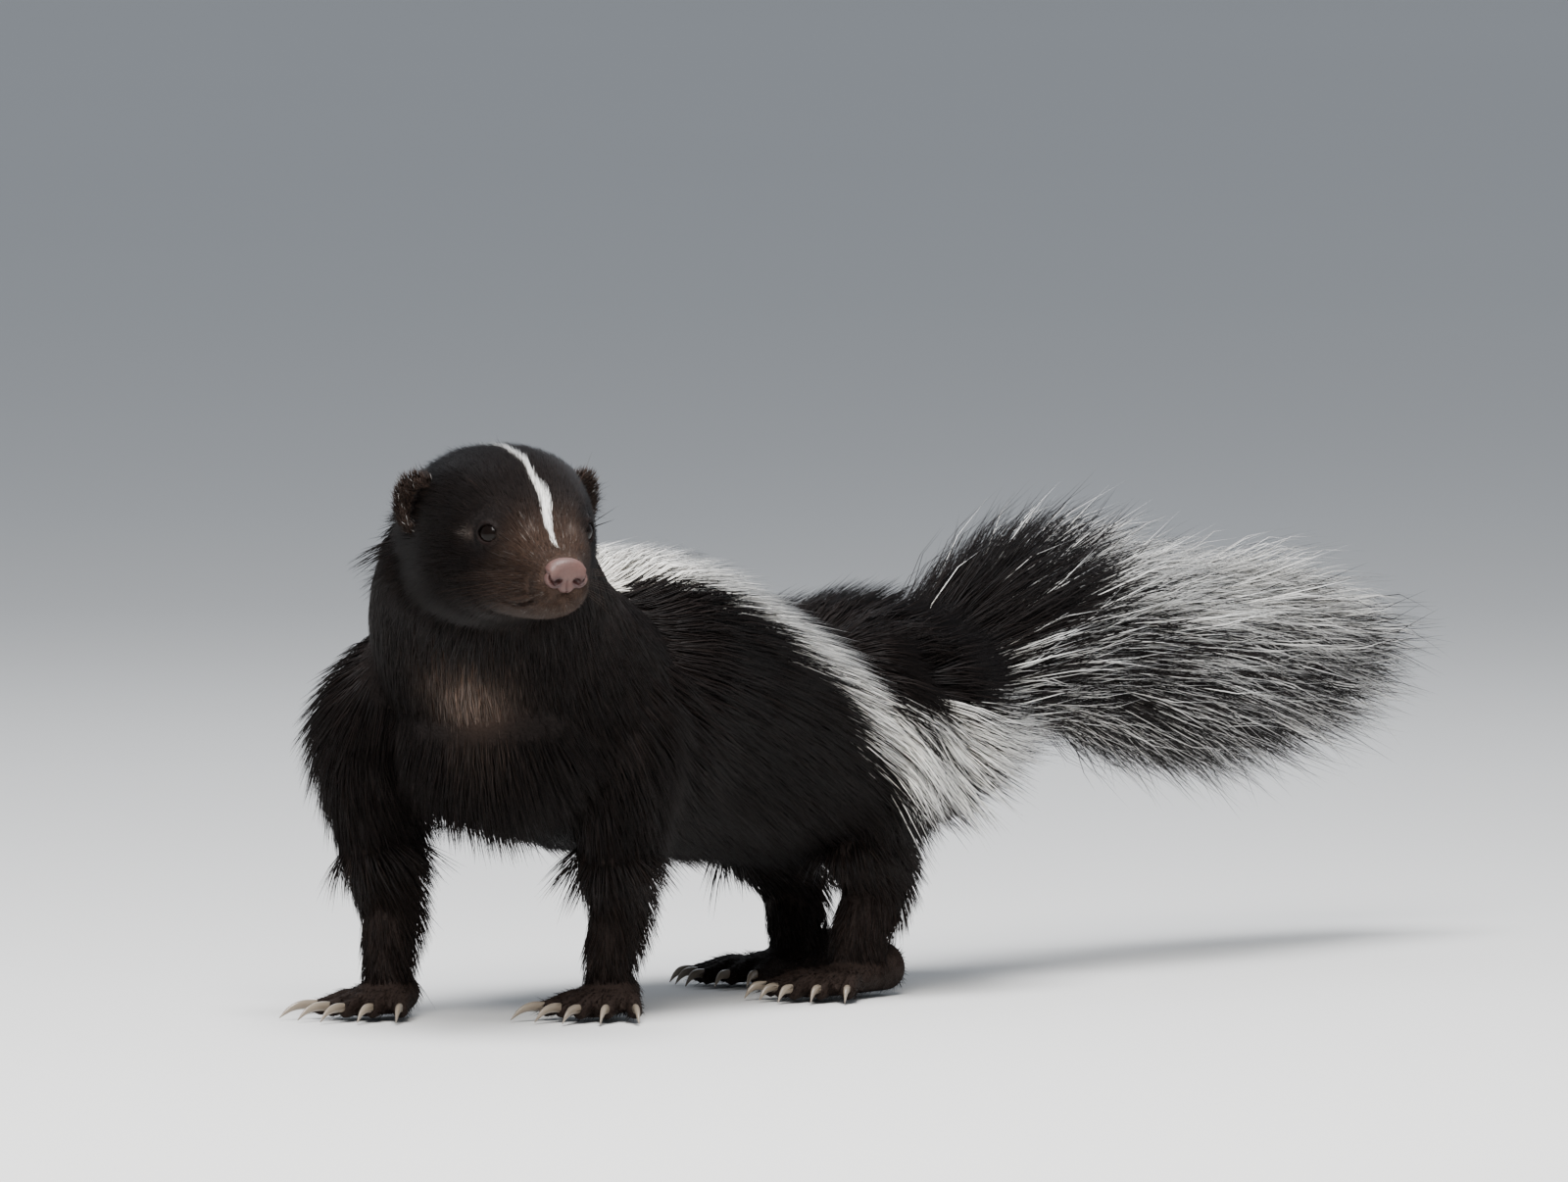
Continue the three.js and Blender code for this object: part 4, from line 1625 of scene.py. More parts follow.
class Skunk:
    """The whole animal: its skin, coat, eyes, nose, claws and whiskers."""

    # how deep the skin lies under the form of each zone
    SUNK = {
        Zone.TRUNK: 7.0, Zone.NECK: 6.0, Zone.LIMB: 5.0, Zone.LEG: 2.6, Zone.PAW: 0.7, Zone.TAIL: 0.0,
    }
    TOE_SUNK = 0.35
    BODY_VOXEL = 3.4
    FOOT_VOXEL = 1.1
    # how far each place along the back raises its hair, in degrees
    BACK_AT = (-115, -98, -82, -64, -43, -20, 0, 24, 45, 60, 80)
    BACK_RISE = (46, 48, 28, 4, 4, -3, 3, 20, 20, 12, 6)
    # how far the tail raises its hair above, at the sides and below, from root to tip
    TAIL_ABOVE = (12, 25, 22, 10, 12, 14, 3)
    TAIL_BESIDE = (18, 18, 16, 14, 10, 7, 3)
    TAIL_BELOW = (20, 21, 23, 25, 20, 15, 8)
    TAIL_LENGTH = (0.62, 0.72, 0.84, 1.0, 1.04, 1.0, 1.0)
    # what the skin between the strands shows of the marks and of the head's brown
    SKIN_PALE = 0.25
    SKIN_WARM = 0.55
    SKIN_TIP = 0.3
    SKIN_TONE = 0.4
    WHISKER_WIDTH = 0.08

    def __init__(self, finishes: Finishes) -> None:
        """Sets up the animal's parts.

        Args:
            finishes: The materials.
        """
        self.finishes = finishes
        self.draw = np.random.default_rng(SEED)
        self.body = Body()
        self.head = Head()
        self.limbs = (
            Limb("foreleg_right", (113, -29), 4, (99, -20, 134), (110, -38, 92)),
            Limb("foreleg_left", (74, 33), 14, (84, 34, 132), (80, 40, 92)),
            HindLeg("hindleg_right", (-104, -21), -14, (-84, -22, 106), (-80, -32, 84)),
            HindLeg("hindleg_left", (-60, 37), 2, (-78, 26, 106), (-62, 38, 84)),
        )
        self.markings = Markings(self.body, self.head)
        self.guides = Guides()

    def skin(self) -> bpy.types.Object:
        """Builds the one skin that stands for every part of flesh.

        Returns:
            The skin.
        """
        bm = bmesh.new()
        self.body.trunk().add_shell(bm, 64, 64, -self.SUNK[Zone.TRUNK])
        self.body.neck().add_shell(bm, 48, 40, -self.SUNK[Zone.NECK])
        self.body.tail().add_shell(bm, 32, 80, 0.0)
        for limb in self.limbs:
            limb.upper().add_shell(bm, 40, 32, -self.SUNK[Zone.LIMB])
        rough = to_mesh("body_shells", bm)
        set_points(rough, in_metres(points_of(rough)))
        trunk = remeshed(rough, self.BODY_VOXEL * MM, 8)
        bm = bmesh.new()
        for limb in self.limbs:
            limb.leg().add_shell(bm, 32, 32, -self.SUNK[Zone.LEG])
            limb.sole().add_shell(bm, 32, 24, -self.SUNK[Zone.PAW])
            for index in range(limb.toes):
                limb.toe(index).add_shell(bm, 20, 24, -self.TOE_SUNK)
        fine = to_mesh("foot_shells", bm)
        set_points(fine, in_metres(points_of(fine)))
        feet = remeshed(fine, self.FOOT_VOXEL * MM, 2)
        points = points_of(feet)
        points[:, 2] = np.maximum(points[:, 2], LOWEST_SKIN * MM)
        set_points(feet, points)
        head = self.head.skin()
        head.transform(self.head.place_in_metres())
        whole = combined(combined(trunk, feet, Cut.JOIN), head, Cut.JOIN)
        whole.shade_smooth()
        piece = to_object("skin", whole)
        piece.data.materials.clear()
        piece.data.materials.append(self.finishes.skin)
        return piece

    def fill_guides(self) -> None:
        """Spreads the guides under every zone of the coat."""
        whole = (0.0, 1.0)
        self.guide_form(self.body.trunk(), 60, 64, -self.SUNK[Zone.TRUNK], self.trunk_lie, whole)
        self.guide_form(self.body.neck(), 24, 48, -self.SUNK[Zone.NECK], self.trunk_lie, whole)
        self.guide_form(self.body.tail(), 90, 24, 0.0, self.path_lie, whole)
        self.guide_form(self.head.form(), 60, 64, 0.0, self.head_lie, whole)
        # each limb takes a quarter of the unwrap, its paw the first part of that, then its toes
        for index, limb in enumerate(self.limbs):
            column = (index / 4, (index + 0.96) / 4)
            self.guide_form(limb.upper(), 24, 24, -self.SUNK[Zone.LIMB], self.limb_lie, column)
            self.guide_form(limb.leg(), 24, 24, -self.SUNK[Zone.LEG], self.limb_lie, column)
            paw = (column[0], column[0] + 0.1)
            self.guide_form(limb.sole(), 16, 24, -self.SUNK[Zone.PAW], self.path_lie, paw)
            for toe in range(limb.toes):
                left = column[0] + 0.11 + toe * 0.026
                self.guide_form(limb.toe(toe), 12, 12, 0.0, self.path_lie, (left, left + 0.024))
        for side in Side:
            self.guide_ear(side)
        self.guides.close()

    def guide_form(
        self, form: Form, along: int, around: int, grow: float, lie: Callable, column: tuple
    ) -> None:
        """Adds the guides of one form.

        Args:
            form: The form.
            along: How many guides stand along it.
            around: How many stand round it.
            grow: How far outside it they lie.
            lie: The function that gives the lie of the hair.
            column: The part of the zone's unwrap that the form takes, from left to right.
        """
        points, share, angle = form.samples(along, around, grow)
        left, right = column
        chart = np.stack([left + (right - left) * (angle / (2 * math.pi) + 0.5), share], axis=1)
        self.guides.add(points, lie(form, share, angle), form.zone, chart)

    @staticmethod
    def trunk_lie(form: Form, share: np.ndarray, angle: np.ndarray) -> np.ndarray:
        """Back along the body, and down its sides.

        Args:
            form: The form.
            share: Where along its path.
            angle: Where round its section.

        Returns:
            The lie at each place.
        """
        lie = -form.frame(share)[1]
        lie[:, 2] -= 0.36 * np.abs(np.cos(angle)) * smooth_step(0.05, 0.4, share) + 0.06
        lie[:, 2] -= 0.7 * smooth_step(0.8, 1.0, share) * (form.zone is Zone.TRUNK)
        return lie

    @staticmethod
    def path_lie(form: Form, share: np.ndarray, angle: np.ndarray) -> np.ndarray:
        """Along the form's own path."""
        along = form.frame(share)[1]
        return along @ np.array(form.place.to_3x3()).T

    @staticmethod
    def limb_lie(form: Form, share: np.ndarray, angle: np.ndarray) -> np.ndarray:
        """Down the limb and a little back.

        Args:
            form: The form.
            share: Where along its path.
            angle: Where round its section.

        Returns:
            The lie at each place.
        """
        lie = form.frame(share)[1]
        lie[:, 0] -= 0.35 + 0.9 * smooth_step(0.6, 0.1, share) * (form.zone is Zone.LIMB)
        return lie

    @staticmethod
    def head_lie(form: Form, share: np.ndarray, angle: np.ndarray) -> np.ndarray:
        """From the nose back over the head, and down on the cheeks.

        Args:
            form: The form.
            share: Where along its path.
            angle: Where round its section.

        Returns:
            The lie at each place.
        """
        lie = -form.frame(share)[1]
        lie[:, 2] -= 0.35 * np.abs(np.cos(angle)) * (1 - share)
        return lie @ np.array(form.place.to_3x3()).T

    def guide_ear(self, side: Side) -> None:
        """Adds the guides of one ear.

        Args:
            side: The side of the head.
        """
        frame = self.head.place() @ self.head.ear_frame(side)
        share, angle = np.meshgrid(np.linspace(0.05, 0.95, 14), np.linspace(0, 2 * math.pi, 20))
        share = share.ravel()
        angle = angle.ravel()
        ring = np.sin(share * math.pi)
        ball = np.stack([ring * np.cos(angle), ring * np.sin(angle), -np.cos(share * math.pi)], axis=1)
        points = moved(ball * np.array(self.head.ear_half), frame)
        lies = np.tile(np.array(frame.to_3x3()) @ np.array([0.25, 0.0, 1.0]), (len(points), 1))
        left = 0.0 if side is Side.RIGHT else 0.5
        chart = np.stack([left + 0.48 * angle / (2 * math.pi), share], axis=1)
        self.guides.add(points, lies, Zone.EAR, chart)

    def read_skin(self, skin: bpy.types.Object) -> dict:
        """Works out what the coat needs to know at each vertex of the skin.

        Args:
            skin: The finished skin.

        Returns:
            Arrays by name: points, normals, zones and lies of the vertices, and the
            corners and areas of the triangles.
        """
        mesh = skin.data
        points = in_body(points_of(mesh))
        normals = normals_of(mesh)
        nearest = self.guides.nearest(points)
        zones = self.guides.zones[nearest]
        lies = self.smoothed(mesh, self.guides.lies[nearest])
        mesh.calc_loop_triangles()
        corners = rows_of(mesh.loop_triangles, "vertices", 3, int)
        first, second, third = (points[corners[:, index]] for index in range(3))
        areas = np.linalg.norm(np.cross(second - first, third - first), axis=1) / 2
        white = self.markings.white(points, zones) * (zones != Zone.TAIL.value)
        warm = np.where(zones == Zone.HEAD.value, self.SKIN_WARM, 1.0)
        facts = np.empty((len(points), 4), np.float32)
        facts[:, 0] = np.maximum(white, self.SKIN_PALE * self.markings.pale(points, zones))
        facts[:, 1] = self.markings.warm(points, zones) * warm
        facts[:, 2] = self.SKIN_TIP
        facts[:, 3] = self.SKIN_TONE
        write_facts(mesh, facts)
        return {
            "points": points, "normals": normals, "zones": zones, "lies": lies,
            "corners": corners, "areas": areas,
        }

    @staticmethod
    def smoothed(mesh: bpy.types.Mesh, lies: np.ndarray) -> np.ndarray:
        """Smooths the lie of the hair over the skin.

        Args:
            mesh: The skin.
            lies: The lie at each vertex.

        Returns:
            The lies, each now like those about it.
        """
        start, end = rows_of(mesh.edges, "vertices", 2, int).T
        rounds = 10
        for _ in range(rounds):
            total = lies.copy()
            for column in range(3):
                total[:, column] += np.bincount(start, lies[end, column], len(lies))
                total[:, column] += np.bincount(end, lies[start, column], len(lies))
            lies = unit(total)
        return lies

    def roots(self, skin: dict, coat: Coat) -> dict:
        """Draws the places where a zone's strands are rooted.

        Args:
            skin: What is known of the skin.
            coat: How the zone's hair grows.

        Returns:
            Arrays by name: points, normals, lies and charts of the roots.
        """
        corners = skin["corners"]
        weight = skin["areas"] * (skin["zones"][corners[:, 0]] == coat.zone.value)
        weight = weight * self.growth(skin["points"][corners].mean(axis=1), coat.zone)
        picks = self.draw.choice(len(corners), coat.count, p=weight / weight.sum())
        across = np.sqrt(self.draw.random((coat.count, 1)))
        along = self.draw.random((coat.count, 1))
        shares = np.hstack([1 - across, across * (1 - along), across * along])
        chosen = corners[picks]
        points = np.einsum("ij,ijk->ik", shares, skin["points"][chosen])
        normals = unit(np.einsum("ij,ijk->ik", shares, skin["normals"][chosen]))
        lies = unit(np.einsum("ij,ijk->ik", shares, skin["lies"][chosen]))
        charts = self.guides.charts[self.guides.nearest(points)]
        order = np.argsort(charts[:, 1], kind="stable")
        found = {"points": points, "normals": normals, "lies": lies, "charts": charts}
        return {name: values[order] for name, values in found.items()}

    def growth(self, points: np.ndarray, zone: Zone) -> np.ndarray:
        """Works out how thickly hair grows.

        Args:
            points: Places on the skin.
            zone: The zone that they are in.

        Returns:
            A weight for each, 0 where the skin is bare.
        """
        if zone in (Zone.HEAD, Zone.EAR):
            return self.head_growth(self.markings.in_head(points))
        if zone is Zone.PAW:
            return smooth_step(1.0, 4.0, points[:, 2])
        if zone is Zone.TAIL:
            start = self.body.tail_points[0][0]
            return 1.0 + 0.5 * smooth_step(start - 20, start - 60, points[:, 0])
        return np.ones(len(points))

    def head_growth(self, local: np.ndarray) -> np.ndarray:
        """Works out how thickly hair grows on the head, round its eyes, nose and mouth.

        Args:
            local: Places in the head's own frame.

        Returns:
            A weight for each, 0 where the skin is bare.
        """
        half, upper, _ = self.head.opening
        pad_half = np.array(self.head.nose_half) + 0.4
        pad = np.linalg.norm((local - np.array(self.head.nose_at)) / pad_half, axis=1)
        amount = smooth_step(0.92, 1.04, pad) * (1.0 + 1.2 * smooth_step(2.0, 16.0, local[:, 0]))
        for side in Side:
            across, above, out = moved(local, self.head.eye_frame(side).inverted()).T
            rim = np.hypot(across / (half + 0.6), above / (upper + 0.6))
            covered = np.where(out > 0, smooth_step(0.96, 1.0, rim), 1.0)
            amount *= covered * (1.0 + 2.0 * np.exp(-(((rim - 1.15) / 0.3) ** 2)))
            near, _ = distance_to_path(local, self.head.mouth_path(side))
            amount *= smooth_step(0.6, 1.1, near)
        amount *= 0.25 + 0.75 * smooth_step(-58.0, -46.0, local[:, 0])
        return amount

    def strands(self, roots: dict, coat: Coat) -> Strands:
        """Works out how long each strand is and how it stands off the skin.

        Args:
            roots: The strands' roots.
            coat: How the zone's hair grows.

        Returns:
            The strands.
        """
        length = coat.length * self.draw.uniform(0.68, 1.12, coat.count)
        rise = np.full(coat.count, float(coat.rise))
        strands = Strands(roots, length, rise, np.full(coat.count, float(coat.settle)))
        shapes = {
            Zone.HEAD: self.shape_head, Zone.TRUNK: self.shape_trunk, Zone.NECK: self.shape_neck,
            Zone.LIMB: self.shape_limb, Zone.LEG: self.shape_leg, Zone.TAIL: self.shape_tail,
        }
        if coat.zone in shapes:
            shapes[coat.zone](strands)
        return strands

    def shape_head(self, strands: Strands) -> None:
        """Shortens the hair of muzzle and eyes, and lengthens that of jaw and nape.

        Args:
            strands: The strands, which are changed.
        """
        local = self.markings.in_head(strands.roots["points"])
        muzzle = smooth_step(4.0, 24.0, local[:, 0])
        nape = smooth_step(-24.0, -46.0, local[:, 0])
        away = [np.linalg.norm(local - mirrored(self.head.eye_at, side), axis=1) for side in Side]
        eye = 0.30 + 0.70 * smooth_step(5.5, 13.0, np.minimum(*away))
        jaw = smooth_step(-6.0, -24.0, local[:, 2]) * smooth_step(6.0, -22.0, local[:, 0])
        strands.length *= (1.0 - 0.55 * muzzle) * eye * (1.0 + 0.9 * nape + 1.1 * jaw)
        strands.settle -= 12.0 * jaw
        strands.rise *= (1.0 - 0.4 * muzzle) * (0.6 + 0.4 * eye)

    def shape_trunk(self, strands: Strands) -> None:
        """Raises the hair along the back and rump, and shortens chest and belly.

        Args:
            strands: The strands, which are changed.
        """
        x = strands.roots["points"][:, 0]
        up = strands.roots["normals"][:, 2]
        hump = smooth_step(-62.0, -106.0, x) * smooth_step(0.0, 0.8, up)
        ridge = smooth_step(0.4, 0.9, up)
        chest = 1.0 - 0.4 * smooth_step(50.0, 96.0, x) * (1.0 - ridge)
        belly = 1.0 - 0.25 * smooth_step(-0.2, -0.8, up)
        strands.length *= chest * belly * (1.0 - 0.2 * hump)
        strands.rise += np.interp(x, self.BACK_AT, self.BACK_RISE) * ridge
        strands.settle += 24.0 * hump

    @staticmethod
    def shape_neck(strands: Strands) -> None:
        """Lays the throat's hair over the chest, and shortens the neck's by the skull.

        Args:
            strands: The strands, which are changed.
        """
        share = strands.roots["charts"][:, 1]
        throat = smooth_step(0.1, -0.5, strands.roots["normals"][:, 2])
        base = smooth_step(0.55, 0.1, share)
        strands.length *= (1.0 - 0.3 * throat) * (1.0 + 0.8 * base * throat)
        strands.length *= 1.0 - 0.45 * (1.0 - throat) * smooth_step(0.1, 0.55, share)
        strands.rise += 16.0 * base * throat
        strands.settle += 20.0 * base * throat

    @staticmethod
    def shape_limb(strands: Strands) -> None:
        """Shortens and lays the hair of shoulder and haunch toward the leg.

        Args:
            strands: The strands, which are changed.
        """
        share = strands.roots["charts"][:, 1]
        strands.length *= read_run([1.0, 1.0, 1.0, 0.85], share)
        strands.rise *= read_run([1.0, 1.0, 0.8, 0.6], share)

    @staticmethod
    def shape_leg(strands: Strands) -> None:
        """Shortens the hair of the leg toward the foot."""
        strands.length *= read_run([1.4, 1.1, 0.8, 0.6], strands.roots["charts"][:, 1])

    def shape_tail(self, strands: Strands) -> None:
        """Raises the tail's hair, above and below, and shortens it toward the root.

        Args:
            strands: The strands, which are changed.
        """
        share = strands.roots["charts"][:, 1]
        up = strands.roots["normals"][:, 2]
        runs = (self.TAIL_ABOVE, self.TAIL_BESIDE, self.TAIL_BELOW)
        above, beside, below = (read_run(run, share) for run in runs)
        mean = beside + (above - beside) * smooth_step(0.0, 0.9, up)
        mean += (below - beside) * smooth_step(0.0, -0.9, up)
        strands.rise += mean
        strands.settle += mean
        strands.length *= read_run(self.TAIL_LENGTH, share)

    def strand_lines(self, roots: dict, coat: Coat) -> tuple[np.ndarray, np.ndarray]:
        """Bends the strands over the body.

        Args:
            roots: The strands' roots.
            coat: How the zone's hair grows.

        Returns:
            The points of each strand from root to tip, and each one's sideways direction.
        """
        count = coat.count
        strands = self.strands(roots, coat)
        rise, settle = strands.rise, strands.settle
        vary = self.draw.normal(0.0, coat.vary, count)
        normal = roots["normals"]
        lie = unit(roots["lies"] + self.draw.normal(0.0, coat.stray, (count, 3)))
        inward = np.minimum(np.sum(lie * normal, axis=1, keepdims=True), 0.0)
        lie = unit(lie - normal * inward)
        side = unit(np.cross(lie, normal))
        curl = self.draw.normal(0.0, coat.curl, (count, 1))
        wave = self.draw.normal(0.0, coat.wave, count)
        lines = np.empty((count, coat.rings + 1, 3))
        lines[:, 0] = roots["points"] - normal * min(0.6, coat.length * 0.06)
        for ring in range(coat.rings):
            share = (ring + 0.5) / coat.rings
            bend = rise + (settle - rise) * share**0.8
            angle = np.radians(bend + vary + wave * (share - 0.5) * 2.0)[:, None]
            way = lie * np.cos(angle) + normal * np.sin(angle) + side * curl * (share - 0.3) * 2.0
            way[:, 2] -= coat.droop * share
            lines[:, ring + 1] = lines[:, ring] + unit(way) * (strands.length / coat.rings)[:, None]
        if coat.clump > 0:
            self.clump(lines, coat)
        lines[:, :, 2] = np.maximum(lines[:, :, 2], LOWEST_HAIR)
        return lines, side

    def leaders(self, points: np.ndarray, followers: int) -> np.ndarray:
        """Lets neighbouring strands follow the same one.

        Args:
            points: The strands' roots.
            followers: How many follow each, about.

        Returns:
            The index of the strand that each one follows.
        """
        picked = self.draw.choice(len(points), len(points) // followers, replace=False)
        return picked[nearest_in(tree_of(points[picked]), points)]

    def clump(self, lines: np.ndarray, coat: Coat) -> None:
        """Draws the strands' tips together in locks.

        Args:
            lines: The points of each strand, which are moved.
            coat: How the zone's hair grows.
        """
        leader = self.leaders(lines[:, 0], 14)
        offset = lines[leader, -1] - lines[:, -1]
        pull = coat.clump * self.draw.uniform(0.3, 1.0, len(lines))
        for ring, share in enumerate(np.linspace(0.0, 1.0, coat.rings + 1)):
            lines[:, ring] += offset * (pull * share**1.5)[:, None]

    def grow(self, skin: dict, coat: Coat) -> list[bpy.types.Object]:
        """Grows the hair of one zone, as pieces of a fair size.

        Args:
            skin: What is known of the skin.
            coat: How the zone's hair grows.

        Returns:
            The pieces.
        """
        roots = self.roots(skin, coat)
        lines, side = self.strand_lines(roots, coat)
        facts = self.colours(roots["points"], coat)
        pieces = []
        parts = math.ceil(coat.count * coat.triangles() / MOST_TRIANGLES)
        name = f"coat_{coat.zone.name.lower()}"
        for index, pick in enumerate(np.array_split(np.arange(coat.count), parts)):
            label = name if parts == 1 else f"{name}_{index + 1}"
            charts = roots["charts"][pick]
            mesh = strand_mesh(label, lines[pick], side[pick], coat.width, facts[pick], charts)
            mesh.materials.append(self.finishes.hair)
            pieces.append(to_object(label, mesh))
        return pieces

    def colours(self, points: np.ndarray, coat: Coat) -> np.ndarray:
        """Draws the colour of each strand.

        Args:
            points: The strands' roots.
            coat: How the zone's hair grows.

        Returns:
            How white, how brown and how light each strand is.
        """
        count = coat.count
        zones = np.full(count, coat.zone.value)
        chance = self.markings.white(points, zones)
        lot = self.draw.random(count)
        if coat.zone is Zone.TAIL:
            lot = self.shared_lot(points, lot)
        # pale spots round the eyes, and painted light on the breast
        pale = self.markings.pale(points, zones) * self.draw.uniform(0.3, 1.5, count)
        # the tail's white hairs are greyer than the back's: partly their own grey, partly painted shade
        white = self.draw.uniform(0.62, 0.95, count) if coat.zone is Zone.TAIL else 1.0
        mark = np.where(lot < chance, white, pale)
        if coat.zone is Zone.HEAD:
            frost = 0.035 * smooth_step(2.0, 16.0, self.markings.in_head(points)[:, 0])
            frosted = (self.draw.random(count) < frost) & (mark < 0.5)
            mark = np.where(frosted, self.draw.uniform(0.05, 0.17, count), mark)
        if coat.zone is Zone.EAR:
            frosted = self.draw.random(count) < 0.04
            mark = np.where(frosted, self.draw.uniform(0.08, 0.35, count), 0.0)
        warm = self.markings.warm(points, zones) * self.draw.uniform(0.5, 1.2, count)
        return np.stack([mark, np.clip(warm, 0, 1), self.draw.random(count)], axis=1)

    def shared_lot(self, points: np.ndarray, lot: np.ndarray) -> np.ndarray:
        """Lets neighbours draw alike, so that white and black hairs lie in streaks.

        Args:
            points: The roots.
            lot: Each strand's own draw, from 0 to 1.

        Returns:
            The shared draws, from 0 to 1.
        """
        likeness = 0.65
        mixed = likeness * lot[self.leaders(points, 9)] + (1.0 - likeness) * lot
        return np.argsort(np.argsort(mixed)) / len(mixed)

    def claws(self) -> bpy.types.Object:
        """All the claws, curved to the floor.

        Returns:
            The claws.
        """
        bm = bmesh.new()
        for limb in self.limbs:
            for index in range(limb.toes):
                limb.claw(index).add_shell(bm, 12, 20, 0.0)
        mesh = to_mesh("claws", bm)
        points = in_metres(points_of(mesh))
        points[:, 2] = np.maximum(points[:, 2], 0.0)
        set_points(mesh, points)
        mesh.shade_smooth()
        mesh.materials.append(self.finishes.claw)
        return to_object("claws", mesh)

    def whiskers(self) -> bpy.types.Object:
        """The whiskers of the muzzle and the brows.

        Returns:
            The whiskers.
        """
        roots = []
        aims = []
        for side in Side:
            for row in range(3):
                for column in range(4):
                    at = (13.0 + 3.2 * column - row, 12.2 - 1.0 * column, -9.5 - 3.0 * row)
                    aim = (-0.35 - 0.1 * row, 1.0 - 0.08 * column, -0.1 - 0.18 * row)
                    roots.append(mirrored(at, side))
                    aims.append(mirrored(aim, side))
            roots.append(mirrored((-4.2, 11.8, 8.4), side))
            aims.append(mirrored((-0.5, 0.6, 0.6), side))
        place = self.head.place()
        turn = np.array(place.to_3x3())
        points = moved(np.array(roots), place)
        lies = unit(np.array(aims) @ turn.T)
        count = len(points)
        shares = np.linspace(0.0, 1.0, 7)
        length = self.draw.uniform(17.0, 27.0, count)
        lines = points[:, None] + lies[:, None] * (length[:, None] * shares)[:, :, None]
        back = turn @ np.array([-1.0, 0.0, -0.25])
        lines += back * (length[:, None] * 0.3 * shares**2)[:, :, None]
        side = unit(np.cross(lies, np.array([0.0, 0.0, 1.0])))
        facts = np.tile([0.0, 0.3, 0.8], (count, 1))
        charts = self.draw.random((count, 2)) * 0.9
        mesh = strand_mesh("whiskers", lines, side, self.WHISKER_WIDTH, facts, charts)
        mesh.materials.append(self.finishes.hair)
        return to_object("whiskers", mesh)

    def build(self) -> list[bpy.types.Object]:
        """Builds every piece of the animal and hangs it on the frame.

        Returns:
            The pieces.
        """
        skin = self.skin()
        flesh = ["torso", "neck", "head", "tail", "ear_right", "ear_left"]
        for limb in self.limbs:
            flesh += [limb.name, limb.name.replace("leg", "paw")]
        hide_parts(*flesh)
        self.fill_guides()
        known = self.read_skin(skin)
        pieces = [skin]
        for coat in COATS:
            pieces += self.grow(known, coat)
        for side in Side:
            name = f"eye_{side.name.lower()}"
            mesh = self.head.eye(side)
            mesh.shade_smooth()
            mesh.materials.append(self.finishes.eye)
            eye = to_object(f"{name}_ball", mesh)
            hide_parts(name)
            rim = self.head.lids(side)
            rim.shade_smooth()
            rim.materials.append(self.finishes.lid)
            lids = to_object(f"lids_{side.name.lower()}", rim)
            pieces += [eye, lids]
        nose = self.head.nose()
        nose.shade_smooth()
        nose.materials.clear()
        nose.materials.append(self.finishes.nose)
        pieces.append(to_object("nose_pad", nose))
        pieces += [self.claws(), self.whiskers()]
        for piece in pieces:
            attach(piece, "root")
        return pieces


def strand_mesh(
    name: str, lines: np.ndarray, side: np.ndarray, width: float, facts: np.ndarray, charts: np.ndarray
) -> bpy.types.Mesh:
    """Makes one mesh of many tapered strands, each closed, three-sided and pointed.

    Args:
        name: The mesh's name.
        lines: The points of each strand from root to tip.
        side: Each strand's sideways direction.
        width: Half the width of a strand at its widest.
        facts: Each strand's mark, warmth and tone.
        charts: Each strand's place on the unwrap of the skin.

    Returns:
        The mesh.
    """
    count, stops, _ = lines.shape
    rings = stops - 1
    shares = np.arange(rings) / rings
    taper = np.interp(shares, TAPER_AT, TAPER) * width
    along = unit(lines[:, 1:] - lines[:, :-1])
    across = side[:, None, :] * np.ones((1, rings, 1))
    out = unit(np.cross(across, along))
    corners = np.empty((count, rings, 3, 3))
    corners[:, :, 0] = lines[:, :-1] + across * taper[None, :, None]
    corners[:, :, 1] = lines[:, :-1] - across * taper[None, :, None]
    corners[:, :, 2] = lines[:, :-1] + out * (taper * STRAND_HEIGHT)[None, :, None]
    points = np.concatenate([corners.reshape(count, -1, 3), lines[:, -1:, :]], axis=1)
    per_strand = rings * 3 + 1
    faces = []
    for ring in range(rings - 1):
        base = ring * 3
        for first, second in ((0, 1), (1, 2), (2, 0)):
            faces.append((base + first, base + second, base + 3 + second, base + 3 + first))
    last = (rings - 1) * 3
    peak = last + 3
    faces += [(last, last + 1, peak), (last + 1, last + 2, peak), (last + 2, last, peak), (2, 1, 0)]
    loops = np.concatenate([np.array(face) for face in faces])
    sizes = np.array([len(face) for face in faces])
    all_loops = (loops[None, :] + np.arange(count)[:, None] * per_strand).ravel()
    all_sizes = np.tile(sizes, count)
    mesh = bpy.data.meshes.new(name)
    mesh.vertices.add(count * per_strand)
    mesh.vertices.foreach_set("co", in_metres(points.reshape(-1, 3)).astype(np.float32).ravel())
    mesh.loops.add(len(all_loops))
    mesh.loops.foreach_set("vertex_index", all_loops.astype(np.int32))
    mesh.polygons.add(len(all_sizes))
    starts = np.concatenate([[0], np.cumsum(all_sizes)[:-1]])
    mesh.polygons.foreach_set("loop_start", starts.astype(np.int32))
    mesh.update(calc_edges=True)
    tip = np.concatenate([np.repeat(shares, 3), [1.0]])
    colours = np.empty((count, per_strand, 4), np.float32)
    colours[:, :, 0] = facts[:, None, 0]
    colours[:, :, 1] = facts[:, None, 1]
    colours[:, :, 2] = tip[None, :]
    colours[:, :, 3] = facts[:, None, 2]
    write_facts(mesh, colours)
    shift = np.stack([np.tile([-0.5, 0.5, 0.0], rings), tip[:-1] - 0.5], axis=1)
    shift = np.vstack([shift, [0.0, 0.5]]) * PATCH
    spots = np.clip(charts, CHART_RIM, 1.0 - CHART_RIM)[:, None, :] + shift[None, :, :]
    layer = mesh.uv_layers.new(name=BAKE_MAP)
    layer.data.foreach_set("uv", spots.reshape(-1, 2)[all_loops].astype(np.float32).ravel())
    mesh.shade_smooth()
    return mesh


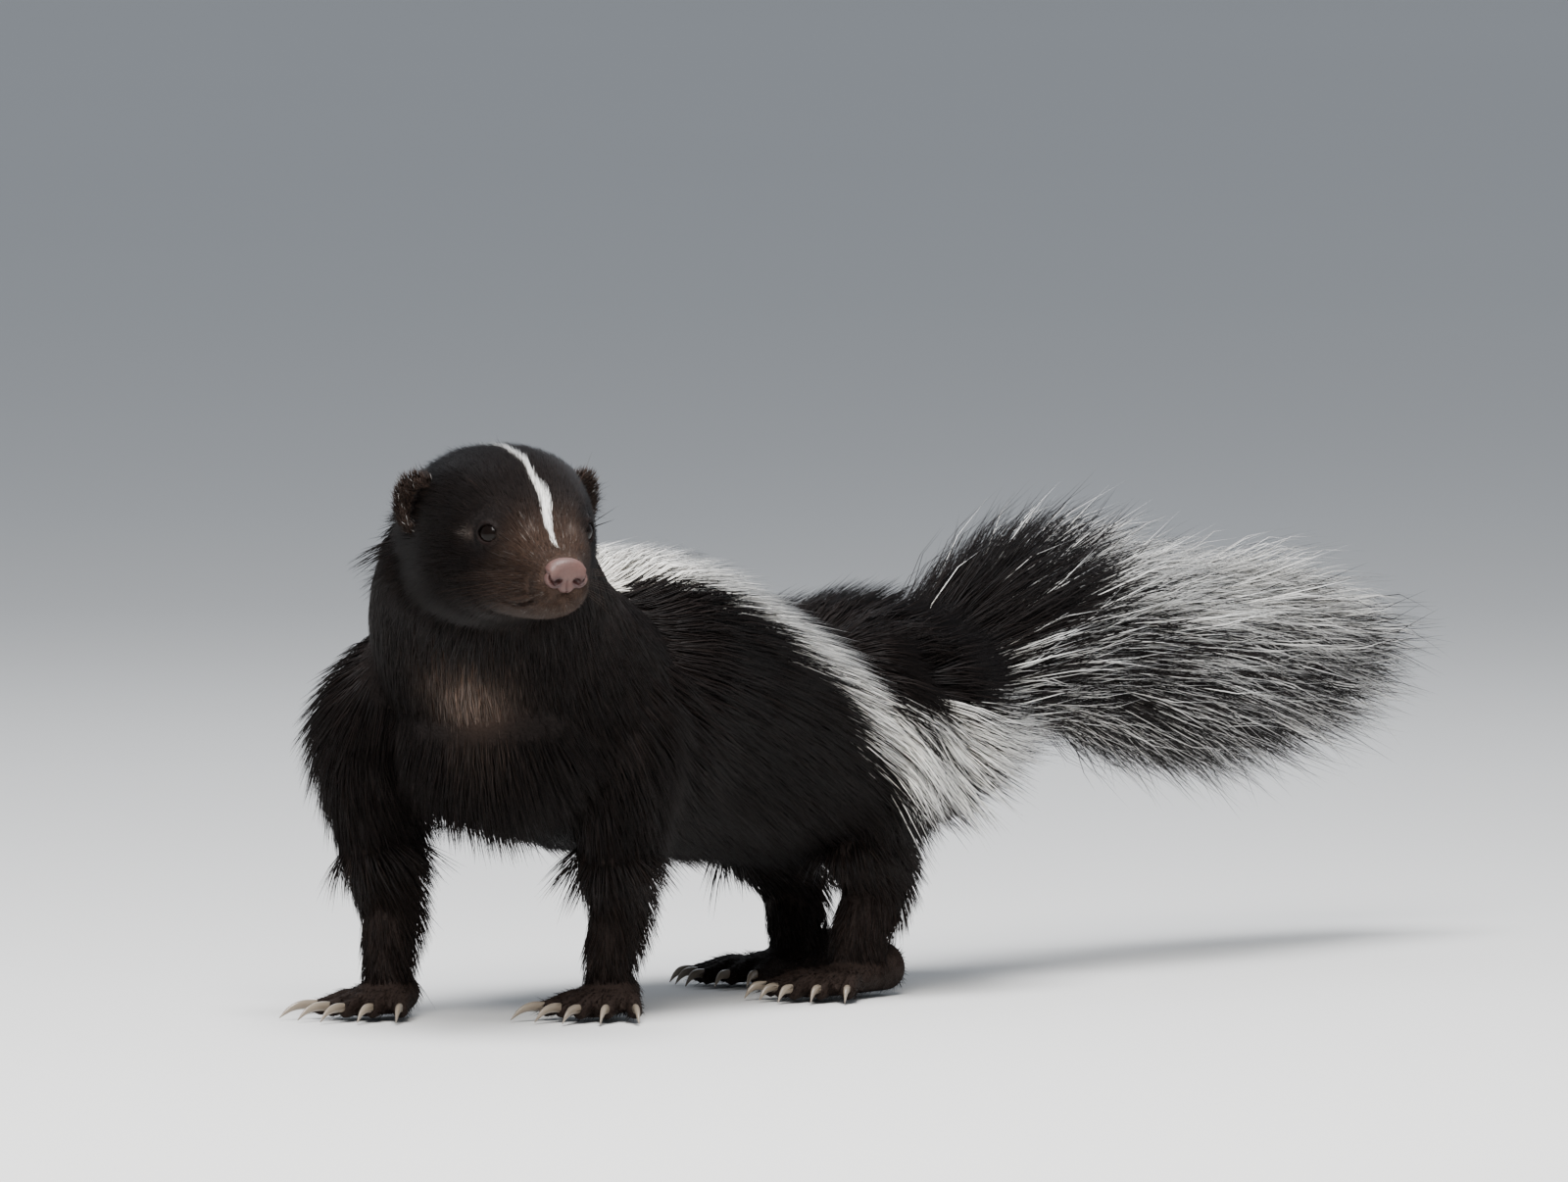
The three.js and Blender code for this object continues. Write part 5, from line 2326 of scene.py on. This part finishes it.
@dataclass(frozen=True)
class Lamp:
    """One soft square lamp that faces the animal, in metres and watts."""

    name: str
    at: tuple
    power: float
    size: float
    colour: tuple


@dataclass
class Studio:
    """The floor, the lights and the camera."""

    look_at: tuple = (0.0912, 0.0170, 0.1366)
    azimuth: float = 126.0
    rise: float = 3.0
    distance: float = 8.66
    lens: float = 600.0
    floor_half: float = 30.0
    sky_colour: tuple = (0.79, 0.87, 0.99, 1.0)
    sky_strength: float = 0.42
    lamps: tuple = (
        Lamp("top", (0.5, 0.3, 1.9), 82.0, 1.0, (0.97, 0.98, 1.0)),
        Lamp("front", (1.30, 0.86, 1.22), 38.0, 0.7, (1.0, 0.98, 0.95)),
        Lamp("back", (-1.1, -0.9, 1.3), 7.0, 0.9, (0.88, 0.93, 1.0)),
    )

    def build(self, finishes: Finishes) -> None:
        """Sets up what stands round the animal.

        Args:
            finishes: The materials.
        """
        bm = bmesh.new()
        bmesh.ops.create_grid(bm, x_segments=2, y_segments=2, size=self.floor_half)
        mesh = to_mesh("floor", bm)
        mesh.materials.append(finishes.floor)
        to_object("floor", mesh)
        world = bpy.data.worlds.new("studio")
        bpy.context.scene.world = world
        world.use_nodes = True
        sky = world.node_tree.nodes["Background"]
        sky.inputs["Color"].default_value = self.sky_colour
        sky.inputs["Strength"].default_value = self.sky_strength
        for lamp in self.lamps:
            self.light(lamp)
        self.camera()

    def light(self, lamp: Lamp) -> None:
        """Adds one lamp.

        Args:
            lamp: The lamp.
        """
        light = bpy.data.lights.new(lamp.name, "AREA")
        light.energy = lamp.power
        light.size = lamp.size
        light.color = lamp.colour
        piece = bpy.data.objects.new(lamp.name, light)
        piece.location = lamp.at
        aim = Vector(self.look_at) - Vector(lamp.at)
        piece.rotation_euler = aim.to_track_quat("-Z", "Y").to_euler()
        bpy.context.scene.collection.objects.link(piece)

    def camera(self) -> None:
        """Sets the camera at the photograph's angle."""
        turn = math.radians(self.azimuth)
        rise = math.radians(self.rise)
        flat = math.cos(rise)
        away = Vector((math.sin(turn) * flat, -math.cos(turn) * flat, math.sin(rise)))
        view = bpy.data.cameras.new("camera")
        view.lens = self.lens
        view.sensor_width = 36.0
        view.clip_end = 100.0
        piece = bpy.data.objects.new("camera", view)
        piece.location = Vector(self.look_at) + away * self.distance
        piece.rotation_euler = (-away).to_track_quat("-Z", "Y").to_euler()
        bpy.context.scene.collection.objects.link(piece)
        bpy.context.scene.camera = piece


def main() -> None:
    """Builds the animal and its studio, and reports each piece."""
    logging.basicConfig(level=logging.INFO, format="%(message)s")
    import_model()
    finishes = Finishes()
    for piece in Skunk(finishes).build():
        LOG.info("%s: %d faces", piece.name, len(piece.data.polygons))
    Studio().build(finishes)


if __name__ == "__main__":
    main()
